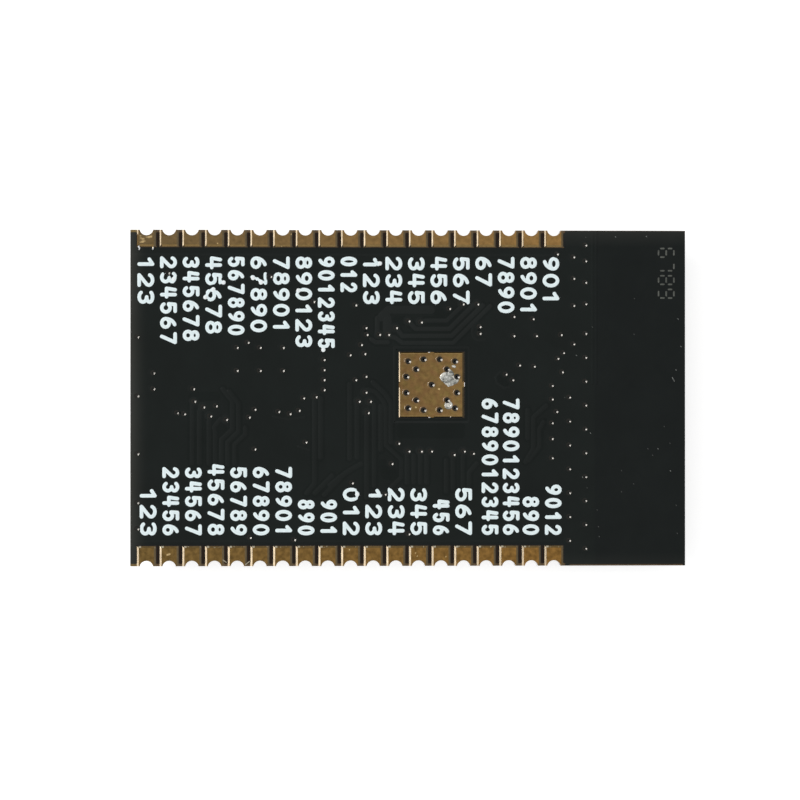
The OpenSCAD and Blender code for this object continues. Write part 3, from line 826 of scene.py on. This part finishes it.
def filled_vias(vias):
    """Round caps over the vias that the printed numbers run across."""
    middles = {(via.x, via.y): via + CAP_OFFSET for via in vias}
    piece = low_rings("filled_vias", middles.values(), CAP_RADII, MASK_TOP, CAP_RISE)
    close_rings(piece)
    set_down(piece, FILLED_VIA, angle=60)


# Faint stack of segment numerals at the antenna end

SEGMENT_SIZE = (0.11, 0.008)
SEGMENT_GAP = 0.16
NUMERAL_H = 1.04
NUMERAL_W = 0.58
NUMERAL_STEP = 0.92
NUMERALS_AT = (17.42, 10.1)
# Lit segments of each numeral: a share of its height and width at the segment's start and end
UPPER_RIGHT = ((0.5, 1), (1, 1))
LOWER_RIGHT = ((0, 1), (0.5, 1))
UPPER_LEFT = ((0.5, 0), (1, 0))
LOWER_LEFT = ((0, 0), (0.5, 0))
TOP, MIDDLE, BOTTOM = (((level, 0), (level, 1)) for level in (1, 0.5, 0))
NUMERALS = (
    (TOP, UPPER_LEFT, MIDDLE, LOWER_LEFT, LOWER_RIGHT, BOTTOM),
    (TOP, UPPER_RIGHT, LOWER_RIGHT),
    (TOP, UPPER_LEFT, UPPER_RIGHT, MIDDLE, LOWER_LEFT, LOWER_RIGHT, BOTTOM),
    (TOP, UPPER_LEFT, UPPER_RIGHT, MIDDLE, LOWER_RIGHT, BOTTOM),
)


def segment_numerals():
    """Numerals that read towards -Y with their tops towards +X."""
    strokes = []
    for i, numeral in enumerate(NUMERALS):
        low_x = NUMERALS_AT[0] - NUMERAL_H / 2
        top_y = NUMERALS_AT[1] - i * NUMERAL_STEP
        for segment in numeral:
            ends = [Vector((low_x + v * NUMERAL_H, top_y - u * NUMERAL_W)) for v, u in segment]
            short = (ends[1] - ends[0]).normalized() * SEGMENT_GAP
            strokes.append([tuple(ends[0] + short), tuple(ends[1] - short)])
    piece = bead("segment_numerals", strokes, SEGMENT_SIZE)
    set_down(piece, FAINT_INK)


# Copper under the mask: tracks and edges of the pour are paler ridges, bare laminate beside them is darker

# Width and height
TRACK_SIZE = (0.32, 0.02)
WIDE_TRACK_SIZE = (0.56, 0.02)
LANE_SIZE = (0.6, 0.004)
PATCH_SIZE = (0.64, 0.004)
MOAT_LANE_SIZE = (0.2, 0.004)
POUR_EDGE_SIZE = (0.18, 0.012)


def bundle(count, step, route):
    """Tracks side by side: how many, the step from one to the next and the first one's route."""
    return [[(x + i * step[0], y + i * step[1]) for x, y in route] for i in range(count)]


TRACKS = [
    ((-14.57, -0.4), (-14.57, -4.4)),
    ((-14.0, -0.75), (-14.07, -0.95), (-14.07, -4.4)),
    ((-13.4, -1.35), (-13.43, -1.6), (-13.43, -4.4)),
    ((-12.66, -1.4), (-13.1, -1.95), (-13.02, -2.3), (-13.02, -4.3)),
    *bundle(2, (0.42, -0.17), ((-12.5, 0.6), (-11.87, -0.2), (-11.87, -2.1), (-12.6, -2.8), (-12.6, -4.3))),
    ((-11, -2), (-11, -2.45), (-11.72, -3.12), (-11.72, -4.4)),
    ((-6.34, 0), (-6.34, -5.75), (-6.86, -6.4)),
    ((-5.93, 0), (-5.93, -4)),
    *bundle(2, (0.62, -0.1), ((-5.14, -5.2), (-6.3, -6.4))),
    ((-3.2, -4.42), (-4.2, -5), (-5.3, -5.85)),
    ((-3.97, 0.95), (-3.97, -4.1)),
    ((-3.48, -0.4), (-3.48, -4)),
    *bundle(2, (0.5, 0.8), ((-2.83, -1.25), (-2.83, -6.7))),
    ((-1.88, -0.55), (-1.88, -3.5)),
    ((-2.4, 1.05), (-1.6, 0.3), (-1.2, -0.3), (-1.2, -3)),
    ((-2.75, 0.58), (-2.26, 0.42), (-1.7, -0.2), (-1.55, -0.65), (-1.55, -3.15), (-0.5, -4.13),
     (-0.5, -5.35), (-1.2, -6)),
    *bundle(4, (0.44, 0), ((-0.1, -3.85), (-0.1, -5.7))),
    *bundle(2, (0.44, 0.2), ((2.54, -4.2), (2.54, -6.3))),
    ((3.65, -3.9), (3.65, -5.9)),
    ((4.6, -4.4), (4.08, -5), (4.08, -5.9)),
    ((9.3, -0.5), (8.42, -1.3), (8.42, -3.4), (7.9, -4.3)),
    ((9.1, -1.6), (8.82, -2.1), (8.82, -3.3), (8.1, -4.2)),
    ((8.03, -0.8), (8.03, -2.7)),
]
# Tracks north of the ground pad, which show most
NORTH_TRACKS = (
    ((0.95, 5.15), (1.14, 5.22), (2.56, 5.22), (3.8, 6.38)),
    ((0.13, 5.03), (0.47, 4.66), (2.75, 4.66), (4.4, 6.3)),
    ((-0.7, 4.55), (-0.43, 4.19), (2.9, 4.19), (5, 6.25)),
    ((-1.25, 4.15), (-0.88, 4.06), (-0.43, 3.72), (3, 3.72), (5.5, 6.2)),
    ((-2.5, 3.95), (-2.22, 3.76), (-1.4, 3.76)),
    ((-2.11, 5.37), (-2.11, 4.35)),
)
WIDE_TRACKS = (((-1.93, 5.4), (-1.35, 5.95), (1.5, 5.95)), ((-1.44, 5.4), (-1.44, 4.45)))
# Bare laminate away from the tracks
BARE_PATCHES = (((-14.5, 0.1), (-13, 0.1)), ((-12.6, -1.9), (-12.35, -2.35)), ((-1.7, -4.4), (-1.5, -5.2)),
                ((-1.1, -4.9), (-1.1, -5.3)), ((-0.5, -1.95), (3.5, -1.95)), ((-0.5, -2.4), (3.5, -2.4)),
                ((2, 5.62), (2.4, 5.75)), ((-0.8, 5.2), (0, 5.2)), ((6.1, 1.3), (6.5, 1.05)))
# Edges of the pour around single vias
VIA_MOATS = (((4.5, 5.05), (4.28, 4.6), (4.36, 4.1), (4.66, 3.87), (5.2, 3.95)),
             ((-9.1, -1.25), (-8.13, -1.44), (-7, -1.29)), ((-7.4, -3.25), (-6.71, -3.5)),
             ((6.2, 1.75), (5.85, 1.4), (5.95, 1.05), (6.4, 0.7), (6.8, 0.72)))
# Edges of the pour along both rows, and two lines across the board where it ends
POUR_EDGE_Y = 9.63
END_LINES_X = (POUR_END - 0.13, POUR_END + 0.12)
END_LINES_Y = 1
EDGE_MARGIN = 0.2
# Distances from the ground pad: the pour's edge around it, and the bare lane before that
MOAT = 0.3
MOAT_LANE_AT = 0.17
ROUTES = TRACKS + list(NORTH_TRACKS)


def covered_tracks():
    fine = open_bead("fine_tracks", TRACKS, TRACK_SIZE)
    set_down(fine, OVER_FINE_COPPER)
    narrow = open_bead("north_tracks", NORTH_TRACKS, TRACK_SIZE)
    wide = open_bead("wide_tracks", WIDE_TRACKS, WIDE_TRACK_SIZE)
    set_down(join_pieces([narrow, wide], "north_tracks"), OVER_COPPER)


def pad_moat(reach):
    """Sides of a square around the ground pad, at a distance from it."""
    low = (PAD_LOW.x - reach, PAD_LOW.y - reach)
    high = (PAD_HIGH.x + reach, PAD_HIGH.y + reach)
    corners = [low, (high[0], low[1]), high, (low[0], high[1])]
    return [[corners[i - 1], corners[i]] for i in range(4)]


def bare_lanes():
    """Laminate without copper: beside the tracks, in patches and around the ground pad."""
    lanes = open_bead("track_lanes", ROUTES, LANE_SIZE)
    patches = open_bead("bare_patches", BARE_PATCHES, PATCH_SIZE)
    moat = bead("pad_moat", pad_moat(MOAT_LANE_AT), MOAT_LANE_SIZE)
    set_down(join_pieces([lanes, patches, moat], "bare_lanes"), OVER_LAMINATE)


def pour_edges():
    """Edges of the copper pour: across the board, inside both rows, around the ground pad and single vias."""
    across = [[(x, END_LINES_Y), (x, BOARD_HIGH.y - EDGE_MARGIN)] for x in END_LINES_X]
    moat = pad_moat(MOAT)
    faint = [moat[0], moat[2], moat[3], *VIA_MOATS]
    for y in (POUR_EDGE_Y, -POUR_EDGE_Y):
        faint.append([(BOARD_LOW.x + EDGE_MARGIN, y), (POUR_EDGE_END, y)])
    edges = (("bold_edges", [moat[1]], OVER_COPPER), ("faint_edges", faint, OVER_FINE_COPPER),
             ("end_edges", across, BLACK_MASK))
    for name, strokes, finish in edges:
        piece = open_bead(name, strokes, POUR_EDGE_SIZE)
        set_down(piece, finish)


# Rings around the vias: covered copper on the mask, and rims of plating on the ground pad

RING_SIDES = 16
# Radii of the hole, of the flat top and of the foot
LAND_RADII = (VIA_RADIUS, 0.26, 0.33)
LAND_HEIGHT = 0.012
PLUG_RADII = (0.03, 0.06, 0.09)
PLUG_HEIGHT = 0.006
PLUG_DEPTH = 0.052
THERMAL_R = 0.2
RIM_RADII = (THERMAL_R, 0.255, 0.269)
# A track ends in a via if it comes this close to the via's middle
LAND_REACH = 0.4
# Thermal vias from the pad's middle, in one quarter of the pad
QUARTER_VIAS = ((1.58, 1.58), (1.04, 1.04), (0.54, 1.71), (1.71, 0.54))


def thermal_middles():
    signs = [(s, t) for s in (1, -1) for t in (1, -1)]
    offsets = [(0, 0)] + [(s * x, t * y) for x, y in QUARTER_VIAS for s, t in signs]
    return [PAD_MIDDLE + Vector((x, y, 0)) for x, y in offsets]


def low_rings(name, middles, radii, level, height):
    """Flat rings with a sloped outer edge; the radii are the hole's, the flat top's and the foot's."""
    hole, top, foot = radii
    bpy.ops.mesh.primitive_circle_add(vertices=RING_SIDES, radius=hole, location=(0, 0, 0))
    ring = bpy.context.object
    with editing(ring):
        bpy.ops.transform.translate(value=(0, 0, level + height))
        for share in (top / hole, foot / top):
            bpy.ops.mesh.extrude_region_move()
            bpy.ops.transform.resize(value=(share, share, 1), center_override=(0, 0, 0))
        bpy.ops.transform.translate(value=(0, 0, -height))
        bpy.ops.mesh.select_all(action="SELECT")
        bpy.ops.mesh.normals_make_consistent(inside=False)
    rings = []
    for middle in middles:
        copy = ring.copy()
        copy.data = ring.data.copy()
        copy.data.transform(Matrix.Translation((middle.x, middle.y, 0)))
        bpy.context.scene.collection.objects.link(copy)
        rings.append(copy)
    bpy.data.objects.remove(ring)
    return join_pieces(rings, name)


def close_rings(piece):
    """Fills the rings' holes, top and foot."""
    with editing(piece):
        bpy.ops.mesh.fill_holes(sides=RING_SIDES)
        bpy.ops.mesh.normals_make_consistent(inside=False)


def via_rims():
    """Lands around the vias, paler where tracks end in them."""
    on_tracks = {(via.x, via.y) for route in ROUTES for via in vias_on(route, LAND_REACH)}
    kinds = (("track_lands", OVER_FINE_COPPER, True), ("via_rims", BLACK_MASK, False))
    for name, finish, wanted in kinds:
        vias = [via for via in VIAS if ((via.x, via.y) in on_tracks) == wanted]
        piece = low_rings(name, vias, LAND_RADII, MASK_TOP, LAND_HEIGHT)
        set_down(piece, finish)


def via_plugs():
    """Mask ink that ran into the vias and closes them."""
    piece = low_rings("via_plugs", VIAS, PLUG_RADII, MASK_TOP - PLUG_DEPTH, PLUG_HEIGHT)
    close_rings(piece)
    set_down(piece, BLACK_MASK)


def thermal_rims():
    piece = low_rings("thermal_rims", thermal_middles(), RIM_RADII, PAD_TOP, RIM_HEIGHT)
    set_down(piece, RIM_GOLD, angle=15)


# Solder that came up through the thermal vias and froze on the ground pad

# Vias that the splashes run round, from the pad's middle
HOLES_BY_SPLASH = ((1.04, 1.04), (1.71, 0.54), (1.04, -1.04), (1.58, -1.58))
# Lobes of the large splash: X and Y from the pad's middle, radii and turn in degrees
LARGE_LOBES = (
    (0.98, 0.52, 0.44, 0.36, 10),
    (1.2, 0.3, 0.46, 0.4, -20),
    (1.56, 0.22, 0.32, 0.2, 25),
    (1.3, 0.8, 0.3, 0.16, -55),
    (1.14, 0.06, 0.16, 0.22, 0),
)
# A fleck north of it
FLECK_LOBES = ((1.5, 1.22, 0.17, 0.11, -15),)
# The small splash: X and Y from the pad's middle, radius of the ring and of its bead
SMALL_RING = (1.14, -1.38, 0.21, 0.085)
# Heights as shares of the large splash's, which leaves room for its wrinkles
WRINKLE_ROOM = 0.015
FLECK_RISE = 0.7
RING_RISE = 0.8
RING_FLOOR_RISE = 0.4
SOLDER_VOXEL = 0.018
# Size and strength of the large and of the small wrinkles
WRINKLES = ((0.22, 0.06), (0.08, 0.015))


def solder_lobe(x, y, half_l, half_w, turn, height):
    bpy.ops.mesh.primitive_uv_sphere_add(segments=32, ring_count=16, radius=1, location=(0, 0, 0))
    lobe = bpy.context.object
    lobe.scale = (half_l, half_w, height)
    lobe.rotation_euler = (0, 0, math.radians(turn))
    lobe.location = (PAD_MIDDLE.x + x, PAD_MIDDLE.y + y, PAD_TOP)
    bpy.ops.object.transform_apply(location=True, rotation=True, scale=True)
    return lobe


def wrinkle(piece, size, strength):
    """Moves the skin in and out by cloud noise."""
    clouds = bpy.data.textures.new("solder_clouds", "CLOUDS")
    clouds.noise_scale = size
    clouds.noise_depth = 2
    apply_modifier(piece, "DISPLACE", texture=clouds, texture_coords="LOCAL", strength=strength,
                   mid_level=0.5)


def frozen_solder():
    height = SOLDER_TOP - PAD_TOP - WRINKLE_ROOM
    lobes = [solder_lobe(*lobe, height) for lobe in LARGE_LOBES]
    lobes += [solder_lobe(*lobe, FLECK_RISE * height) for lobe in FLECK_LOBES]
    x, y, ring, tube = SMALL_RING
    lobes.append(solder_lobe(x, y, ring, ring, 0, RING_FLOOR_RISE * height))
    bpy.ops.mesh.primitive_torus_add(major_radius=ring, minor_radius=tube, major_segments=32,
                                     minor_segments=12,
                                     location=(PAD_MIDDLE.x + x, PAD_MIDDLE.y + y, PAD_TOP))
    bpy.ops.transform.resize(value=(1, 1, RING_RISE * height / tube))
    bpy.ops.object.transform_apply(location=True, rotation=True, scale=True)
    lobes.append(bpy.context.object)
    piece = join_pieces(lobes, "frozen_solder")
    apply_modifier(piece, "REMESH", mode="VOXEL", voxel_size=SOLDER_VOXEL)
    apply_modifier(piece, "SMOOTH", factor=0.5, iterations=4)
    for size, strength in WRINKLES:
        wrinkle(piece, size, strength)
    with editing(piece):
        bpy.ops.mesh.bisect(plane_co=(0, 0, PAD_TOP), plane_no=(0, 0, 1), clear_inner=True, use_fill=True)
    for x, y in HOLES_BY_SPLASH:
        drill(piece, PAD_MIDDLE.x + x, PAD_MIDDLE.y + y, THERMAL_R)
    for vertex in piece.data.vertices:
        vertex.co.z = min(vertex.co.z, SOLDER_TOP)
    set_down(piece, FROZEN_SOLDER, angle=60)
    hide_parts("solder_splashes")


# Small marks of use, and bright bits by the ground pad's necks that stand in for glints, a painted highlight

# Bits of solder at the first terminal's inner edge: start and end
SOLDER_BITS = (((-18.11, 9.98), (-18.08, 10.08)), ((-17.2, 10.0), (-17.17, 10.1)),
               ((-18.17, 10.16), (-18.13, 10.19)))
# Thinner bright bits of solder by the ground pad's necks, placed where glints show: a painted highlight
NECK_GLINT_BITS = (((1.34, 3.075), (1.42, 3.075)), ((1.35, -1.3), (1.44, -1.3)), ((2.82, -1.27), (2.84, -1.27)),
             ((3.765, 0.8), (3.765, 1.03)))
# Gold that runs onto the ground pad's necks
NECK_STROKES = (((1.36, 3.02), (1.67, 3.02)), ((1.36, -1.23), (1.67, -1.23)), ((3.68, 0.79), (3.68, 1.02)),
                ((-0.58, 0.78), (-0.58, 1.01)))
# Rubbed spots on the gold
RUBBED_SPOTS = (((-16.22, -10.53), (-16.06, -10.48)), ((2.04, 0.6), (2.07, 0.61)),
                ((0.48, -0.62), (0.5, -0.63)))
# Smaller bright flecks on the terminals
FLECKS = ((0.46, -10.44), (0.57, -10.65), (-3.99, -10.22), (2.5, -10.69), (-8.55, 10.2), (-7.92, 11.0),
          (-12.86, 10.38))
# Fibres that stick out of the cut edge between two terminals
FIBRES = (((-10.99, -11.2), (-10.7, -10.98)), ((-12.48, -10.89), (-12.26, -11.04)))
# Bare laminate past the mask at the antenna end's south edge
BARE_EDGE = ((10.9, -11.25), (18.5, -11.25))
# Dust on the antenna end: bright specks, faint specks and one short hair
DUST_SPECKS = ((13.97, 10.9), (16.06, 10.93), (18.21, 5.36), (18.41, 3.5), (18.07, 1.92), (11.32, 2.9),
               (16.85, -3.4), (17.69, -4.89), (12.27, -2.34), (11.73, -5.31))
FAINT_SPECKS = ((11.95, 10.86), (15.23, 4.32), (15.25, 6.74), (10.54, 0.06), (16.48, -3.84), (17.27, -1.9),
                (18.08, -7.22), (18.15, -9.11), (12.72, -7.53), (12.81, -8.65), (12.87, -9.32), (12.4, 4.81),
                (14.37, -4.88), (15.2, -5.77), (14.37, -6.3), (16.17, -3.4), (17.66, -3.03), (12.05, -6.04))
DUST_HAIR = ((17.83, 1.4), (17.97, 1.14))
# Width and height of each kind of mark
BIT_SIZE = (0.12, 0.05)
NECK_GLINT_SIZE = (0.07, 0.03)
NECK_GOLD_SIZE = (0.16, 0.015)
RUB_SIZE = (0.12, 0.004)
FLECK_SIZE = (0.07, 0.004)
FIBRE_SIZE = (0.07, 0.02)
BARE_EDGE_SIZE = (0.09, 0.004)
DUST_SIZE = (0.06, 0.02)
# A fleck's and a speck's end, from its start
FLECK_END = (0.02, 0.02)
SPECK_END = (0.03, -0.04)


def short_strokes(starts, end):
    """A stroke at each start, all the same length and turn."""
    return [[(x, y), (x + end[0], y + end[1])] for x, y in starts]


def small_marks():
    """Pieces made of one or two kinds of strokes on one level."""
    flecks = short_strokes(FLECKS, FLECK_END)
    specks = short_strokes(DUST_SPECKS, SPECK_END) + [DUST_HAIR]
    faint_specks = short_strokes(FAINT_SPECKS, SPECK_END)
    marks = (
        ("solder_bits", "solder", SOLDER, MASK_TOP, (SOLDER_BITS, BIT_SIZE), (NECK_GLINT_BITS, NECK_GLINT_SIZE)),
        ("neck_gold", "gold_plating", NECK_GOLD, MASK_TOP, (NECK_STROKES, NECK_GOLD_SIZE)),
        ("rubbed_spots", "gold_plating", BRIGHT_GOLD, PAD_TOP, (RUBBED_SPOTS, RUB_SIZE),
         (flecks, FLECK_SIZE)),
        ("fibres", "laminate", FIBRE, MASK_TOP, (FIBRES, FIBRE_SIZE)),
        ("bare_edge", "laminate", NODE_FINISHES["board"], MASK_TOP, ([BARE_EDGE], BARE_EDGE_SIZE)),
        ("dust_specks", "solder_mask", DUST, MASK_TOP, (specks, DUST_SIZE)),
        ("faint_specks", "solder_mask", FAINT_DUST, MASK_TOP, (faint_specks, DUST_SIZE)),
    )
    for name, slot, finish, level, *kinds in marks:
        pieces = [bead(name, strokes, size, level) for strokes, size in kinds]
        set_down(join_pieces(pieces, name), finish)


# Studio

# Lengths in millimetres and angles in degrees
CAMERA_DISTANCE = 300
CAMERA_TARGET = (-0.58, -0.131)
CAMERA_WEST = 2.9
CAMERA_SOUTH = 0.2
PIXELS_PER_MM = 14.856
IMAGE_SIDE = 800
SENSOR = 36


def studio_camera():
    """Nearly straight above, a little to the west and south of the board's middle."""
    west, south = (math.tan(math.radians(angle)) for angle in (CAMERA_WEST, CAMERA_SOUTH))
    back = Vector((-west, -south, 1)).normalized()
    right = Vector((0, 1, 0)).cross(back).normalized()
    up = back.cross(right)
    target = Vector((*CAMERA_TARGET, MASK_TOP))
    bpy.ops.object.camera_add()
    camera = bpy.context.object
    turn = Matrix((right, up, back)).transposed().to_4x4()
    camera.matrix_world = Matrix.Translation((target + back * CAMERA_DISTANCE) * MM) @ turn
    camera.data.sensor_width = SENSOR
    camera.data.lens = PIXELS_PER_MM * CAMERA_DISTANCE / IMAGE_SIDE * SENSOR
    camera.data.clip_start = 0.01
    bpy.context.scene.camera = camera


# In metres, as the light's size is
LIGHT_DISTANCE = 1.0


def strip_light(name, azimuth, elevation, width, height, energy):
    """Long low softbox that faces the part from a compass angle and a height angle, in degrees."""
    a = math.radians(azimuth)
    e = math.radians(elevation)
    towards = Vector((math.cos(e) * math.cos(a), math.cos(e) * math.sin(a), math.sin(e)))
    bpy.ops.object.light_add(type="AREA", location=towards * LIGHT_DISTANCE)
    light = bpy.context.object
    light.name = name
    light.rotation_euler = towards.to_track_quat("Z", "Y").to_euler()
    light.data.shape = "RECTANGLE"
    light.data.size = width
    light.data.size_y = height
    light.data.energy = energy
    light.visible_camera = False


# Brightness of the surroundings by the sine of the height angle: dim walls and a broad light overhead
SKY_STOPS = ((0.0, 0.3), (0.6, 0.3), (0.82, 0.9), (1.0, 0.9))


def end_in(output, seen, hidden, shown):
    """Ends a tree in one shader for the rays that see it and another for the rest."""
    tree = seen.id_data
    mix = add_node(tree, "ShaderNodeMixShader", links={0: seen, 1: hidden.outputs[0], 2: shown.outputs[0]})
    add_node(tree, output, links={"Surface": mix.outputs["Shader"]})


def studio_sky():
    """Surroundings for the part, and plain white for the camera."""
    world = bpy.data.worlds.new("studio_sky")
    world.use_nodes = True
    tree = world.node_tree
    tree.nodes.clear()
    _, _, height = split(add_node(tree, "ShaderNodeTexCoord").outputs["Generated"])
    sky = tint(height, [(sine, (level, level, level)) for sine, level in SKY_STOPS])
    surroundings = add_node(tree, "ShaderNodeBackground", links={"Color": sky})
    backdrop = add_node(tree, "ShaderNodeBackground", {"Color": (1, 1, 1, 1)})
    seen = add_node(tree, "ShaderNodeLightPath").outputs["Is Camera Ray"]
    end_in("ShaderNodeOutputWorld", seen, surroundings, backdrop)
    bpy.context.scene.world = world


FLOOR_SIDE = 4
FLOOR_DROP = 0.02
# Where the floor is seen: what it scatters, and its own white on top; then what it scatters elsewhere
PAPER_TONE = (0.7, 0.7, 0.7, 1)
PAPER_GLOW = 0.66
BOUNCE_TONE = (0.8, 0.8, 0.8, 1)


def white_floor():
    """White sweep: part of its white is its own, so that shadows stay light."""
    bpy.ops.mesh.primitive_plane_add(size=FLOOR_SIDE, location=(0, 0, -FLOOR_DROP * MM))
    floor = bpy.context.object
    floor.name = "floor"
    material = bpy.data.materials.new("white_floor")
    material.use_nodes = True
    tree = material.node_tree
    tree.nodes.clear()
    paper = add_node(tree, "ShaderNodeBsdfDiffuse", {"Color": PAPER_TONE})
    glow = add_node(tree, "ShaderNodeEmission", {"Strength": PAPER_GLOW})
    lit = add_node(tree, "ShaderNodeAddShader", links={0: paper.outputs[0], 1: glow.outputs[0]})
    plain = add_node(tree, "ShaderNodeBsdfDiffuse", {"Color": BOUNCE_TONE})
    rays = add_node(tree, "ShaderNodeLightPath").outputs
    direct = either(rays["Is Camera Ray"], rays["Is Glossy Ray"])
    seen = either(direct, rays["Is Transmission Ray"])
    end_in("ShaderNodeOutputMaterial", seen, plain, lit)
    floor.data.materials.append(material)


dress_nodes()
filled_vias(pin_numbers("north", NORTH_LENGTHS) + pin_numbers("south", SOUTH_LENGTHS))
segment_numerals()
covered_tracks()
bare_lanes()
pour_edges()
via_rims()
via_plugs()
thermal_rims()
frozen_solder()
small_marks()
studio_camera()
strip_light("west_strip", azimuth=162, elevation=39.9, width=0.8, height=0.149, energy=4.9)
studio_sky()
white_floor()
bpy.context.scene.view_settings.view_transform = "Standard"
